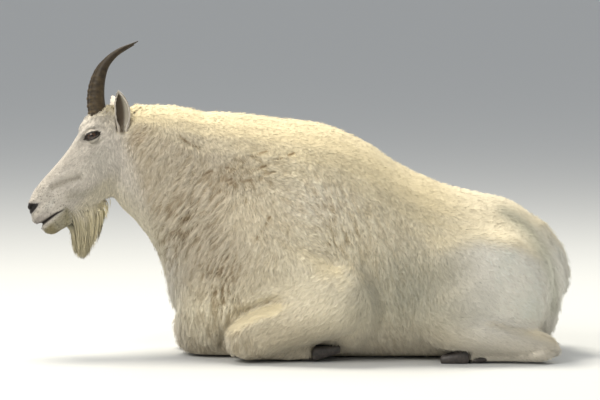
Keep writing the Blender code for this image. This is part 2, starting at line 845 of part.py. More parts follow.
def hull_round(name, pieces, grow):
    """The convex hull of some pieces, grown a little."""
    shape = bmesh.new()
    for piece in pieces:
        for vertex in piece.data.vertices:
            shape.verts.new(vertex.co)
    bmesh.ops.convex_hull(shape, input=shape.verts)
    loose = [v for v in shape.verts if not v.link_faces]
    bmesh.ops.delete(shape, geom=loose, context="VERTS")
    bmesh.ops.recalc_face_normals(shape, faces=shape.faces)
    mesh = bpy.data.meshes.new(name)
    shape.to_mesh(mesh)
    shape.free()
    made = bpy.data.objects.new(name, mesh)
    bpy.context.scene.collection.objects.link(made)
    outer = grown(made, name, grow)
    remove([made])
    return outer


def add_foot(name, hosts, floor):
    """The cannon bone, two claws and two dewclaws of one leg, with room made for them in the hosts."""
    fore = name.startswith("fore")
    side = -1 if name.endswith("left") else 1
    rows = [(x, -side * y, z, r) for x, y, z, r in (CANNON_FORE if fore else CANNON_HIND)]
    rows = moved(rows, CANNON_PLACES[name])
    cannon = limb("cannon_" + name, rows, count=6, sides=9, cap=(50,))
    end_x, end_y = rows[-1][:2]
    toe_way = 1 if fore else -1
    foot = [cannon]
    for k, label in ((-1, "outer"), (1, "inner")):
        where = Vector((end_x + toe_way * 0.004, end_y - k * side * HOOF_SPREAD / 2, 0.0))
        foot.append(hoof_claw(f"hoof_{name}_{label}", toe_way, where, fore))
        start = Vector((end_x - toe_way * 0.034, end_y - k * side * 0.012, 0.040 if fore else 0.012))
        tip = start + Vector((toe_way * DEWCLAW_LENGTH, -k * side * 0.006, 0.004 if fore else -0.004))
        ends = ((*start, DEWCLAW_RADIUS), (*tip, DEWCLAW_RADIUS * 0.45))
        foot.append(limb(f"dewclaw_{name}_{label}", ends, count=2, sides=6, cap=(45,)))
    room = hull_round("room", foot, GAP)
    for host in hosts:
        combine(host, room, "DIFFERENCE")
        largest_shell(host)
    remove([room])
    on_floor(cannon, floor)
    for piece in foot[1:]:
        if piece.name.startswith("dewclaw"):
            on_floor(piece, floor)
        seat(cannon, piece)


def finish(target, material):
    target.data.materials.clear()
    target.data.materials.append(material)
    target.data.shade_smooth()
    target.data.set_sharp_from_angle(angle=math.radians(38))


def main():
    clear_scene()
    place = head_place()
    floor = floor_box()
    head_parts = head_pieces()
    body_parts = trunk_pieces()
    neck_stub = [p for p in body_parts if p.name.startswith("neck")]
    torso = fuse("torso", body_parts + head_parts, BODY_VOXEL, BODY_ROUNDS, BODY_TRIANGLES)
    head = fuse("head", head_parts + neck_stub, HEAD_VOXEL, HEAD_ROUNDS, HEAD_TRIANGLES)
    remove(head_parts + body_parts)
    on_floor(torso, floor)
    keep_side(head, NAPE_CUT, front=True)
    neck = copy_of(torso, "neck")
    keep_side(neck, NAPE_CUT, front=False)
    keep_side(neck, SHOULDER_CUT, front=True)
    keep_side(torso, SHOULDER_CUT, front=False)
    flesh = {"head": head, "neck": neck, "torso": torso}
    for name in LEGS:
        cutter = parting(name)
        flesh[name] = part_off(torso, cutter, name)
        remove([cutter])
    tail_cutter = limb("tail_cutter", TAIL, count=6, sides=12, grow=0.006, cap=(60, 25))
    flesh["tail"] = part_off(torso, tail_cutter, "tail")
    remove([tail_cutter])
    for name in ("fore_left", "fore_right", "hind_left", "hind_right"):
        hosts = [torso, flesh[name.replace("fore", "foreleg").replace("hind", "hindleg")]]
        add_foot(name, hosts, floor)
    region = jaw_region(place)
    jaw = copy_of(head, "lower_jaw")
    combine(jaw, region, "INTERSECT")
    combine(head, region, "DIFFERENCE")
    largest_shell(jaw)
    join_locks(jaw, [beard_core(place)] + beard_locks(place))
    combine(jaw, region, "INTERSECT")
    gap = mouth_cutter(place)
    combine(jaw, gap, "DIFFERENCE")
    combine(head, gap, "DIFFERENCE")
    largest_shell(head)
    largest_shell(jaw)
    remove([region, gap])
    for side, label in ((1, "left"), (-1, "right")):
        lids(head, side, place)
        centre = Vector((EYE_CENTRE.x, EYE_CENTRE.y * side, EYE_CENTRE.z))
        ellipsoid("eye_" + label, centre, [EYE_RADIUS] * 3, place, 16)
        pocket = nostril(side, place)
        combine(head, pocket, "DIFFERENCE")
        remove([pocket])
        seat(head, horn("horn_" + label, side, place))
        seat(head, ear("ear_" + label, side, place))
    remove([floor])
    hair = make_material("coat", (0.80, 0.76, 0.66), 0.85)
    horny = make_material("horn", (0.030, 0.026, 0.024), 0.42)
    eye = make_material("eye", (0.020, 0.012, 0.008), 0.10)
    leaf = make_material("ear", (0.62, 0.57, 0.50), 0.80)
    of_kind = {"horn": horny, "hoof": horny, "dewclaw": horny, "eye": eye, "ear": leaf}
    for node in list(bpy.data.objects):
        finish(node, of_kind.get(node.name.split("_")[0], hair))


main()
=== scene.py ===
"""The looks of a mountain goat billy that lies with its legs folded: skin, coat, beard, horns, eyes and hooves.

The goat faces -X and its left side is at -Y, towards the camera. Sizes are in metres and angles in degrees.
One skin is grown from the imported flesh, drawn in by the depth of the coat and shaped round the eyes, nose
and mouth. The coat is then set on it as solid tufts that follow the lie of the hair.
"""

import math

import bmesh
import bpy
import numpy as np
from mathutils import Matrix, Vector, noise
from mathutils.kdtree import KDTree


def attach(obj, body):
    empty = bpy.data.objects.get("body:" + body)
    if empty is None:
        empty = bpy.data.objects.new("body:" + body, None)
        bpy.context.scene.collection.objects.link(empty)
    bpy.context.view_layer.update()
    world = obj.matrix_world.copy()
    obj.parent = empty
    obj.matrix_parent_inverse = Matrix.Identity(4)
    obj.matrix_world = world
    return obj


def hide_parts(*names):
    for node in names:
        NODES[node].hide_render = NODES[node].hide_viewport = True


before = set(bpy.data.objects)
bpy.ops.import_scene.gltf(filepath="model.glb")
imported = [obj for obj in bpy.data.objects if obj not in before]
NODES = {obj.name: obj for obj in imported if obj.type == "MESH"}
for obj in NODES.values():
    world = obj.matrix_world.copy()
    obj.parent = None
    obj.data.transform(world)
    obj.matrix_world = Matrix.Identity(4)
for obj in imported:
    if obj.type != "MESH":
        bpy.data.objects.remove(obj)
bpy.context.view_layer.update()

# The photo's frame: metres to a pixel at the goat's mid-plane, and where the camera looks.
PHOTO_WIDTH, METRES_PER_PIXEL = 600, 0.0025
CAMERA_TARGET, CAMERA_DISTANCE, CAMERA_HEIGHT_ANGLE = Vector((0, 0, 0.389)), 9.0, 5.0

# The head's own frame, as in the solids: +X to the nose, +Y to the goat's left, +Z up from the crown.
CROWN = Vector((-0.4405, 0.0, 0.600))
FACE_DOWN, HEAD_TURN, HEAD_TILT = 46.0, 7.5, 7.0

# The eyes, in the head's frame.
EYE_RADIUS = 0.0155
EYE_CENTRE = Vector((0.094, 0.0490, 0.0210))
EYE_WAY = Vector((0.30, 0.94, 0.14))
LID_HALF_LENGTH, LID_HALF_HEIGHT, LID_TILT = 0.0186, 0.0076, 25.0

# Ears: root, the way that they point, the way that the cup opens, as in the solids.
EAR_ROOT = Vector((0.038, 0.056, -0.028))
EAR_WAY = Vector((-0.58, 0.34, 0.74))
EAR_FACING = Vector((0.30, 0.94, -0.10))
EAR_LENGTH, EAR_HALF_WIDTH, EAR_CUP, EAR_WALL, EAR_SUNK = 0.108, 0.0180, 0.0155, 0.0024, 0.012

# The fleshy nodes that the skin stands for.
FLESH = (
    ["head", "lower_jaw", "neck", "torso", "tail"]
    + [f"{leg}_{side}" for leg in ("foreleg", "hindleg") for side in ("left", "right")]
    + [f"cannon_{end}_{side}" for end in ("fore", "hind") for side in ("left", "right")]
)

# The skin: voxel, rounds of smoothing, and where its mesh is made finer for the face.
SKIN_VOXEL, SKIN_ROUNDS, FINE_BEFORE_X = 0.0048, 5, -0.372

SEED = 5


def smooth_step(low, high, value):
    t = np.clip((value - low) / (high - low), 0.0, 1.0)
    return t * t * (3 - 2 * t)


def bump_at(points, centre, radii):
    """1 at a centre, falling smoothly to 0 at an ellipsoid round it."""
    away = np.linalg.norm((points - np.array(centre)) / np.array(radii), axis=1)
    return 1 - smooth_step(0.0, 1.0, away)


def unit(vectors):
    return vectors / np.maximum(np.linalg.norm(vectors, axis=-1, keepdims=True), 1e-12)


def flattened(ways, normals):
    """Ways without what stands off the surface."""
    return ways - normals * np.sum(ways * normals, axis=1, keepdims=True)


def blended(now, target, share):
    """Colours or ways drawn to a target, by a share for each row."""
    return now + (np.asarray(target) - now) * np.clip(share, 0, 1)[:, None]


def mirrored(place, side):
    """A place or a way of the left side, or with side -1 that of the right."""
    return Vector((place[0], place[1] * side, place[2]))


def side_name(side):
    return "left" if side > 0 else "right"


def head_place():
    """The matrix that puts the head's own frame in its place on the neck."""
    down = math.radians(FACE_DOWN)
    forward = Vector((-math.cos(down), 0, -math.sin(down)))
    up = Vector((-math.sin(down), 0, math.cos(down)))
    axes = Matrix((forward, up.cross(forward), up)).transposed().to_4x4()
    turn = Matrix.Rotation(math.radians(HEAD_TURN), 4, "Z")
    tilt = Matrix.Rotation(-math.radians(HEAD_TILT), 4, "X")
    return Matrix.Translation(CROWN) @ tilt @ turn @ axes


HEAD = head_place()
HEAD_ROTATION, HEAD_ORIGIN = np.array(HEAD.to_3x3()), np.array(HEAD.translation)


def to_head(points):
    return (points - HEAD_ORIGIN) @ HEAD_ROTATION


def from_head(points):
    return np.asarray(points) @ HEAD_ROTATION.T + HEAD_ORIGIN


def turned_from_head(ways):
    return np.asarray(ways) @ HEAD_ROTATION.T


def vertex_array(mesh, name="co"):
    found = np.empty(len(mesh.vertices) * 3, np.float32)
    mesh.vertices.foreach_get(name, found)
    return found.reshape(-1, 3).astype(float)


def set_vertices(mesh, points):
    mesh.vertices.foreach_set("co", np.asarray(points, np.float32).ravel())
    mesh.update()


def mesh_of(name, shape):
    mesh = bpy.data.meshes.new(name)
    shape.to_mesh(mesh)
    shape.free()
    return mesh


def closed_mesh(name, points, faces):
    """A mesh whose faces all look outwards."""
    mesh = bpy.data.meshes.new(name)
    mesh.from_pydata([tuple(map(float, p)) for p in points], [], faces)
    shape = bmesh.new()
    shape.from_mesh(mesh)
    bmesh.ops.recalc_face_normals(shape, faces=shape.faces)
    shape.to_mesh(mesh)
    shape.free()
    return mesh


def tube_faces(rings, each, closed=False):
    """Faces of a capped tube of rings of points, or of one that closes on itself."""
    faces = []
    for ring in range(rings if closed else rings - 1):
        further = (ring + 1) % rings
        for s in range(each):
            t = (s + 1) % each
            faces.append((ring * each + s, ring * each + t, further * each + t, further * each + s))
    if not closed:
        faces += [tuple(range(each)), tuple(range((rings - 1) * each, rings * each))]
    return faces


def object_of(name, data):
    made = bpy.data.objects.new(name, data)
    bpy.context.scene.collection.objects.link(made)
    return made


def applied(target):
    graph = bpy.context.evaluated_depsgraph_get()
    mesh = bpy.data.meshes.new_from_object(target.evaluated_get(graph))
    target.modifiers.clear()
    target.data = mesh
    return target


def piece_done(piece, replaced=()):
    """Hangs a finished piece on the goat's one body."""
    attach(piece, "root")
    if replaced:
        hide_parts(*replaced)
    return piece


def smooth_piece(name, mesh, material, replaced=()):
    """A finished piece out of a mesh of one material."""
    mesh.materials.append(material)
    mesh.shade_smooth()
    return piece_done(object_of(name, mesh), replaced)


# Fields over the body


def fractal(points, scale, octaves=3, offset=0.0):
    """Smooth noise from about -1 to 1 at each point."""
    found = np.empty(len(points))
    for i, (x, y, z) in enumerate(points * scale + offset):
        found[i] = noise.fractal(Vector((x, y, z)), 0.9, 2.1, octaves)
    return found


def face_share(local):
    """1 on the face and 0 from the poll backwards, for points in the head's frame."""
    edge = 0.030 + 0.55 * np.maximum(0.0, -0.030 - local[:, 2]) + 0.10 * np.maximum(0.0, local[:, 2])
    return smooth_step(-0.035, 0.045, local[:, 0] - edge)


def is_near_head(points):
    return points[:, 0] < -0.33


def coat_length(points):
    """How long the hair is: short on the face and feet, longest on the chest, belly and rump."""
    local = to_head(points)
    x, y, z = points.T
    body = 0.0205 - 0.0015 * smooth_step(0.46, 0.60, z)
    chest = (1 - smooth_step(-0.30, -0.20, x)) * (1 - smooth_step(0.28, 0.42, z))
    body = body + 0.006 * chest
    rump = smooth_step(0.54, 0.64, x)
    body = body + 0.005 * rump
    low = 1 - smooth_step(0.02, 0.06, z)
    body = body * (1 - 0.30 * low)
    on_face = face_share(local) * is_near_head(points)
    muzzle = smooth_step(0.10, 0.26, local[:, 0])
    face = 0.0100 - 0.0045 * muzzle
    jaw = smooth_step(-0.02, -0.09, local[:, 2]) * (1 - smooth_step(0.24, 0.30, local[:, 0]))
    face = face + 0.007 * jaw
    return body * (1 - on_face) + face * on_face


def coat_depth(points):
    """How far the skin lies inside the tips of the coat."""
    return 0.36 * coat_length(points)


# The wool creases along rings round the shoulder: their middle x, z, how many creases a metre outwards and
# across the body and how many a radian, and how wide one is. It parts along a few deeper lines, each a row
# of x, z points, how deep it is and how wide.
CREASE_CENTRE, CREASES_OUT, CREASES_ACROSS, CREASES_ROUND, CREASE_WIDTH = (0.075, 0.120), 66.0, 16.0, 8.5, 0.17
PARTINGS = (
    (((-0.302, 0.562), (-0.285, 0.545), (-0.268, 0.536), (-0.250, 0.522)), 0.8, 0.0026),
    (((-0.238, 0.459), (-0.222, 0.468), (-0.203, 0.477), (-0.175, 0.480)), 1.3, 0.0048),
    (
        ((-0.200, 0.437), (-0.172, 0.452), (-0.140, 0.470), (-0.100, 0.478), (-0.050, 0.502), (-0.015, 0.515)),
        1.0,
        0.0034,
    ),
    (((-0.205, 0.412), (-0.196, 0.428), (-0.172, 0.442), (-0.120, 0.452), (-0.062, 0.470)), 0.8, 0.0034),
    (((-0.155, 0.500), (-0.120, 0.508), (-0.080, 0.520)), 0.7, 0.0030),
    (((-0.075, 0.364), (-0.080, 0.345), (-0.092, 0.325)), 0.9, 0.0040),
    (((-0.100, 0.315), (-0.118, 0.288), (-0.130, 0.270)), 0.8, 0.0036),
    (((-0.175, 0.264), (-0.192, 0.232), (-0.205, 0.190), (-0.212, 0.150), (-0.214, 0.118)), 0.8, 0.0044),
    (((-0.200, 0.022), (-0.186, 0.078), (-0.146, 0.122), (-0.093, 0.148), (-0.065, 0.152)), 0.45, 0.0070),
)


def distance_to_line(points, line):
    """How far points are, seen from the side, from a line through rows of x, z."""
    flat = points[:, [0, 2]]
    line = np.array(line)
    nearest = np.full(len(points), 9.0)
    for start, end in zip(line[:-1], line[1:]):
        along = end - start
        t = np.clip(((flat - start) @ along) / (along @ along), 0, 1)
        nearest = np.minimum(nearest, np.linalg.norm(flat - (start + t[:, None] * along), axis=1))
    return nearest


def band(points, line, width):
    """1 on a line seen from the side, fading to 0 beyond its width."""
    return np.exp(-((distance_to_line(points, line) / width) ** 2))


# Where the wool creases most: middle x, z, radii, and how much.
CREASE_PATCHES = (
    ((-0.290, 0.310), (0.120, 0.110), 0.48),
    ((-0.160, 0.440), (0.130, 0.075), 0.50),
    ((-0.190, 0.190), (0.070, 0.130), 0.48),
    ((0.110, 0.340), (0.120, 0.090), 0.30),
)


def crease_zone(points, normals):
    """1 where the wool creases round the shoulder, and 0 on the back, haunch and face."""
    x, y, z = points.T
    local = to_head(points)
    zone = np.full(len(points), 0.42)
    for (middle_x, middle_z), (wide, high), more in CREASE_PATCHES:
        away = np.hypot((x - middle_x) / wide, (z - middle_z) / high)
        zone += more * (1 - smooth_step(0.0, 1.25, away))
    zone *= 1 - smooth_step(0.10, 0.46, x)
    zone *= 1 - smooth_step(0.36, 0.74, normals[:, 2])
    reach = np.hypot((x - 0.040) / 0.165, (z - 0.130) / 0.135)
    zone *= 0.22 + 0.78 * smooth_step(0.85, 1.20, reach)
    zone *= 0.80 + 0.45 * fractal(points, 9.0, 2, 2.2)
    on_face = face_share(local) * is_near_head(points)
    return np.clip(zone, 0, 1) * (1 - on_face)


def fleece(points, zone):
    """How near to a crease of the wool each point is, and how far the wool swells between creases, 0 to 1."""
    x, y, z = points.T
    over, up = x - CREASE_CENTRE[0], z - CREASE_CENTRE[1]
    across = y * CREASES_ACROSS
    rings = np.stack([np.hypot(over, up) * CREASES_OUT, np.arctan2(up, -over) * CREASES_ROUND, across], axis=1)
    upright = np.stack([x * CREASES_OUT + 14.0 * z, z * 30.0, across], axis=1)
    behind = behind_shoulder(points)
    folds = np.abs(fractal(rings, 1.0, 2, 3.3)) * (1 - behind)
    folds = folds + np.abs(fractal(upright, 1.0, 2, 6.1)) * behind
    crease = np.exp(-((folds / CREASE_WIDTH) ** 2)) * zone
    return np.maximum(crease, partings(points)), smooth_step(0.0, 0.55, folds) * zone


def behind_shoulder(points):
    """1 where the creases no longer follow the shoulder but hang down the side."""
    return smooth_step(-0.02, 0.10, points[:, 0] + 0.30 * (points[:, 2] - 0.28))


def partings(points):
    """How near each point is to a deep parting of the wool."""
    near = np.zeros(len(points))
    astray = [fractal(points, 45.0, 2, 1.5), 0 * points[:, 0], fractal(points, 45.0, 2, 7.5)]
    shifted = points + 0.0045 * np.stack(astray, axis=1)
    broken = np.clip(0.62 + 1.15 * fractal(points, 40.0, 2, 3.7), 0.0, 1.15)
    for line, depth, width in PARTINGS:
        near = np.maximum(near, depth * broken * band(shifted, line, width * (0.45 + 0.55 * broken)))
    return near * smooth_step(0.03, 0.06, np.abs(points[:, 1]))


def in_crease(tones, crease, lightest):
    """Tones darkened, and warmed, by painted shade in a crease or parting of the wool."""
    light = np.maximum(lightest - CREASE_SHADE * crease, 0.22)[:, None]
    return tones * light ** np.array((0.86, 1.0, 1.22))


def along_creases(points, ways, zone):
    """The ways turned to run along the creases, where the wool creases."""
    over, up = points[:, 0] - CREASE_CENTRE[0], points[:, 2] - CREASE_CENTRE[1]
    rings = unit(np.stack([up, 0 * up, -over], axis=1))
    agree = np.sum(rings * unit(ways), axis=1)[:, None]
    share = smooth_step(0.08, 0.40, zone) * (1 - behind_shoulder(points))
    share = 0.90 * share[:, None] * smooth_step(0.02, 0.40, np.abs(agree))
    rings = rings * np.sign(agree)
    return ways * (1 - share) + rings * share


# Skin


def jaw_alone(mesh):
    """Cuts the long hair from the lower jaw's mesh: what hangs below the line of the chin."""
    chin = ((0.330, -0.083), (0.285, -0.094), (0.235, -0.103), (0.190, -0.111), (0.150, -0.120))
    outline = [Vector((0.45, 0, 0.10)), Vector((0.45, 0, -0.078))]
    outline += [Vector((x, 0, z)) for x, z in chin] + [Vector((0.10, 0, -0.124)), Vector((0.10, 0, 0.10))]
    count = len(outline)
    points = [HEAD @ (p + Vector((0, side * 0.15, 0))) for side in (-1, 1) for p in outline]
    faces = [tuple(range(count)), tuple(range(count, 2 * count))]
    faces += [(i, (i + 1) % count, count + (i + 1) % count, count + i) for i in range(count)]
    target, cutter = object_of("jaw", mesh.copy()), object_of("keeper", closed_mesh("keeper", points, faces))
    cut = target.modifiers.new("Cut", "BOOLEAN")
    cut.operation, cut.solver, cut.object = "INTERSECT", "EXACT", cutter
    applied(target)
    bpy.data.objects.remove(cutter)
    result = target.data
    bpy.data.objects.remove(target)
    return result


def smoothed(target, rounds):
    smooth = target.modifiers.new("Smooth", "SMOOTH")
    smooth.factor, smooth.iterations = 0.5, rounds
    return applied(target)


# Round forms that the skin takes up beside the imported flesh, in the head's frame: centres and radii. On both
# sides the eyeball, the nostril's wing, the foot of the horn in two, and the foot of the ear; then the chin.
ROUND_FORMS = (
    (EYE_CENTRE, [EYE_RADIUS + 0.001] * 3),
    ((0.314, 0.019, -0.001), (0.020, 0.014, 0.014)),
    ((0.056, 0.031, 0.026), [0.0200] * 3),
    ((0.047, 0.032, 0.040), [0.0195] * 3),
    (Vector((EAR_ROOT.x, EAR_ROOT.y - 0.008, EAR_ROOT.z)) - 0.019 * EAR_WAY, (0.017, 0.012, 0.014)),
)
CHIN_FORM = ((0.285, 0.0, -0.048), (0.034, 0.024, 0.022))


def sphere_into(shape, centre, radii):
    matrix = HEAD @ Matrix.Translation(centre) @ Matrix.Diagonal((*radii, 1.0))
    bmesh.ops.create_uvsphere(shape, u_segments=20, v_segments=10, radius=1.0, matrix=matrix)


def rough_skin():
    """One smooth closed surface over all the flesh."""
    shape = bmesh.new()
    for name in FLESH:
        mesh = jaw_alone(NODES[name].data) if name == "lower_jaw" else NODES[name].data
        before = len(shape.verts)
        shape.from_mesh(mesh)
        shape.verts.ensure_lookup_table()
        for vertex in shape.verts[before:]:
            vertex.co += vertex.normal * 0.0004
    bmesh.ops.remove_doubles(shape, verts=shape.verts, dist=1e-6)
    for side in (1, -1):
        for centre, radii in ROUND_FORMS:
            sphere_into(shape, mirrored(centre, side), radii)
    sphere_into(shape, *CHIN_FORM)
    made = object_of("skin", mesh_of("skin", shape))
    remesh = made.modifiers.new("Remesh", "REMESH")
    remesh.mode, remesh.voxel_size = "VOXEL", SKIN_VOXEL
    return smoothed(made, SKIN_ROUNDS)


def finer_face(skin):
    """Halves the mesh size on the face."""
    shape = bmesh.new()
    shape.from_mesh(skin.data)
    edges = set()
    for face in shape.faces:
        if face.calc_center_median().x < FINE_BEFORE_X:
            edges.update(face.edges)
    bmesh.ops.subdivide_edges(shape, edges=list(edges), cuts=1, use_grid_fill=True, smooth=0.0)
    odd = [face for face in shape.faces if len(face.verts) > 4]
    bmesh.ops.triangulate(shape, faces=odd)
    shape.to_mesh(skin.data)
    shape.free()


# Soft forms of the body, each a row of x, z points seen from the side, how far the skin moves out along it
# and how wide it is: the ridge of the haunch, the groove over the forearm, the top of the forearm, the rim
# of the elbow, the hollow behind it, and the furrow behind the thigh.
BODY_FORMS = (
    (((0.350, 0.265), (0.440, 0.297), (0.525, 0.285), (0.585, 0.235), (0.600, 0.175)), 0.013, 0.044),
    (((-0.200, 0.022), (-0.186, 0.078), (-0.146, 0.122), (-0.093, 0.148), (-0.050, 0.158)), -0.012, 0.012),
    (((-0.160, 0.050), (-0.150, 0.078), (-0.110, 0.106), (-0.066, 0.118)), 0.008, 0.018),
    (((0.125, 0.236), (0.155, 0.196), (0.168, 0.140), (0.158, 0.095), (0.130, 0.060)), 0.011, 0.020),
    (((0.158, 0.245), (0.192, 0.195), (0.206, 0.135), (0.194, 0.080)), -0.013, 0.015),
    (((0.510, 0.372), (0.550, 0.330), (0.590, 0.270), (0.612, 0.200), (0.620, 0.130)), -0.010, 0.020),
)


def shape_body(points, normals):
    """Moves the skin in or out along the soft forms of the body."""
    out = np.zeros(len(points))
    for line, height, width in BODY_FORMS:
        out += height * band(points, line, width)
    side_on = smooth_step(0.25, 0.75, np.abs(normals[:, 1])) * smooth_step(0.04, 0.09, np.abs(points[:, 1]))
    return points + normals * (out * side_on)[:, None]


def axes_on_face(centre, way, turn, side):
    """Centre of an eye or nostril, its outward way, its way along to the front, and its way up across."""
    way = mirrored(way, side).normalized()
    along = Vector((1, 0, 0))
    along = (along - way * along.dot(way)).normalized()
    along = Matrix.Rotation(math.radians(turn) * -side, 3, way) @ along
    centre = np.array((centre[0], centre[1] * side, centre[2]))
    return centre, np.array(way), np.array(along), np.array(way.cross(along) * -side)


def on_eye(points, side):
    """Where points lie from an eye's centre: along the lids, up across them, and outwards."""
    centre, way, along, up = axes_on_face(EYE_CENTRE, EYE_WAY, LID_TILT, side)
    away = points - centre
    return away @ along, away @ up, away @ way


def almond(a, b, margin_long, margin_high):
    """1 on the outline of the lids made larger by the margins."""
    return np.sqrt((a / (LID_HALF_LENGTH + margin_long)) ** 2 + (b / (LID_HALF_HEIGHT + margin_high)) ** 2)


# Shades along lines of the face, in the head's frame: rows of x, z, then width, colour and share. Painted shade
# in the groove beside the nose, painted shade on the edge of the jaw, and the dark hair before the beard.
FACE_LINES = (
    (((0.252, 0.004), (0.236, -0.003), (0.217, -0.011), (0.190, -0.027)), 0.0085, (0.24, 0.215, 0.17), 0.70),
    (((0.240, -0.042), (0.217, -0.058), (0.183, -0.076), (0.155, -0.085)), 0.0120, (0.29, 0.265, 0.20), 0.50),
    (((0.268, -0.062), (0.284, -0.078), (0.296, -0.092)), 0.0080, (0.17, 0.150, 0.085), 0.80),
)


def shape_face(points, normals):
    """Sockets, lids, nostrils, lips and folds, pressed into the skin in the head's frame."""
    local = to_head(points)
    ways = normals @ HEAD_ROTATION
    near = is_near_head(points) & (local[:, 0] > -0.04)
    moved = local.copy()
    beside_nose = band(local, FACE_LINES[0][0], 0.011)
    moved -= ways * (0.0028 * beside_nose * (np.abs(local[:, 1]) > 0.012))[:, None]
    for side in (1, -1):
        moved = shape_eye(moved, side)
        moved = shape_nostril(moved, ways, side)
    moved = shape_mouth(moved, ways)
    return from_head(np.where(near[:, None], moved, local))


def shape_eye(points, side):
    way = axes_on_face(EYE_CENTRE, EYE_WAY, LID_TILT, side)[1]
    a, b, depth = on_eye(points, side)
    reach = np.sqrt(a**2 + b**2)
    lid_rim = almond(a, b, 0, 0)
    outer = np.sqrt((a / (LID_HALF_LENGTH * 1.55)) ** 2 + (b / (LID_HALF_HEIGHT * 2.3)) ** 2)
    facing = depth > -0.004
    ball = np.sqrt(np.maximum((EYE_RADIUS + 0.0022) ** 2 - reach**2, 0.0))
    on_lid = (1 - smooth_step(0.75, 1.25, outer)) * facing
    target = np.maximum(ball, -0.002)
    new_depth = depth + (target - depth) * on_lid
    inside = (1 - smooth_step(0.86, 1.04, lid_rim)) * facing
    new_depth = new_depth + (0.35 * EYE_RADIUS - new_depth) * inside
    crease_up = np.exp(-(((outer - 1.12) / 0.16) ** 2)) * (b > 0) * facing * (reach < 0.05)
    crease_low = np.exp(-(((outer - 1.25) / 0.20) ** 2)) * (b < 0) * facing * (reach < 0.05)
    new_depth = new_depth - 0.0026 * crease_up - 0.0026 * crease_low
    return points + (new_depth - depth)[:, None] * way


NOSTRIL_CENTRE, NOSTRIL_WAY = (0.3235, 0.0260, 0.0030), (0.66, 0.74, 0.12)
NOSTRIL_TURN, NOSTRIL_HALF_LENGTH, NOSTRIL_HALF_HEIGHT = 42.0, 0.0130, 0.0095
# The bare dark skin round a nostril: corners of its outline seen from the side of the head.
NOSE_PAD = ((-0.0150, 0.0125), (0.0180, 0.0105), (-0.0070, -0.0215))
SIDE_RIGHT, SIDE_UP = np.array((-0.689, 0.131, -0.713)), np.array((-0.703, 0.121, 0.701))


def nostril_axes(side):
    return axes_on_face(NOSTRIL_CENTRE, NOSTRIL_WAY, NOSTRIL_TURN, side)


def nostril_reach(points, side):
    """0 at a nostril's middle, 1 at its rim: a comma whose tail curls back and up."""
    centre, way, along, up = nostril_axes(side)
    away = points - centre
    a, b, depth = away @ along, away @ up, away @ way
    bend = b + 0.30 * (a + 0.004) ** 2 / NOSTRIL_HALF_LENGTH
    narrow = 1.0 - 0.35 * smooth_step(0.0, -1.2 * NOSTRIL_HALF_LENGTH, a)
    reach = np.sqrt((a / NOSTRIL_HALF_LENGTH) ** 2 + (bend / (NOSTRIL_HALF_HEIGHT * narrow)) ** 2)
    return np.where(np.abs(depth) < 0.022, reach, 9.0)


def nose_pad_reach(points, side):
    """0 at the middle of the bare dark skin round a nostril, 1 at its edge: a rounded triangle."""
    centre, way, _, _ = nostril_axes(side)
    away = (points - centre) * (1, side, 1)
    flat = np.stack([away @ SIDE_RIGHT, away @ SIDE_UP], axis=1)
    corners = np.array(NOSE_PAD)
    middle = corners.mean(axis=0)
    reach = np.zeros(len(points))
    for start, end in zip(corners, np.roll(corners, -1, axis=0)):
        out = np.array((start[1] - end[1], end[0] - start[0]))
        out = -out / np.linalg.norm(out) if out @ (middle - start) > 0 else out / np.linalg.norm(out)
        reach += np.maximum((flat - middle) @ out / ((start - middle) @ out), 0.0) ** 4
    return np.where(np.abs((points - centre) @ way) < 0.024, reach**0.25, 9.0)


def shape_nostril(points, ways, side):
    centre, way, _, _ = nostril_axes(side)
    reach = nostril_reach(points, side)
    rim = np.exp(-(((reach - 1.22) / 0.22) ** 2))
    pit = 1 - smooth_step(0.55, 1.08, reach)
    return points + way * (0.0014 * rim)[:, None] - way * (0.0115 * pit)[:, None]


# The line where the lips meet, in the head's frame: rows of x, z and how deep the lips roll in.
LIP_LINE = (
    (0.3520, -0.0405, 0.0070),
    (0.3320, -0.0425, 0.0068),
    (0.3120, -0.0460, 0.0050),
    (0.2920, -0.0500, 0.0032),
    (0.2780, -0.0545, 0.0016),
    (0.2680, -0.0575, 0.0000),
)


def lip_line(points):
    """How far each point is under the line of the mouth, and how deep the mouth is there."""
    xs = [row[0] for row in LIP_LINE][::-1]
    line = np.interp(points[:, 0], xs, [row[1] for row in LIP_LINE][::-1])
    deep = np.interp(points[:, 0], xs, [row[2] for row in LIP_LINE][::-1], left=0.0)
    return line - points[:, 2], deep


def shape_mouth(points, ways):
    under, deep = lip_line(points)
    half = 0.0012 + 0.42 * deep
    groove = np.exp(-((under / half) ** 2)) * deep
    lips = np.exp(-(((np.abs(under) - 2.6 * half) / (1.6 * half)) ** 2)) * deep
    return points - ways * (1.0 * groove)[:, None] + ways * (0.12 * lips)[:, None]


# Where the skin is drawn smooth over the joins of the haunch: rows of x, z, how wide, and how much.
DRAWN_SMOOTH = (
    (((0.300, 0.090), (0.345, 0.180), (0.400, 0.250), (0.480, 0.300), (0.540, 0.310)), 0.060, 1.0),
    (((0.500, 0.385), (0.550, 0.330), (0.600, 0.270), (0.622, 0.200), (0.630, 0.120)), 0.040, 0.7),
)
SMOOTH_ROUNDS = 90


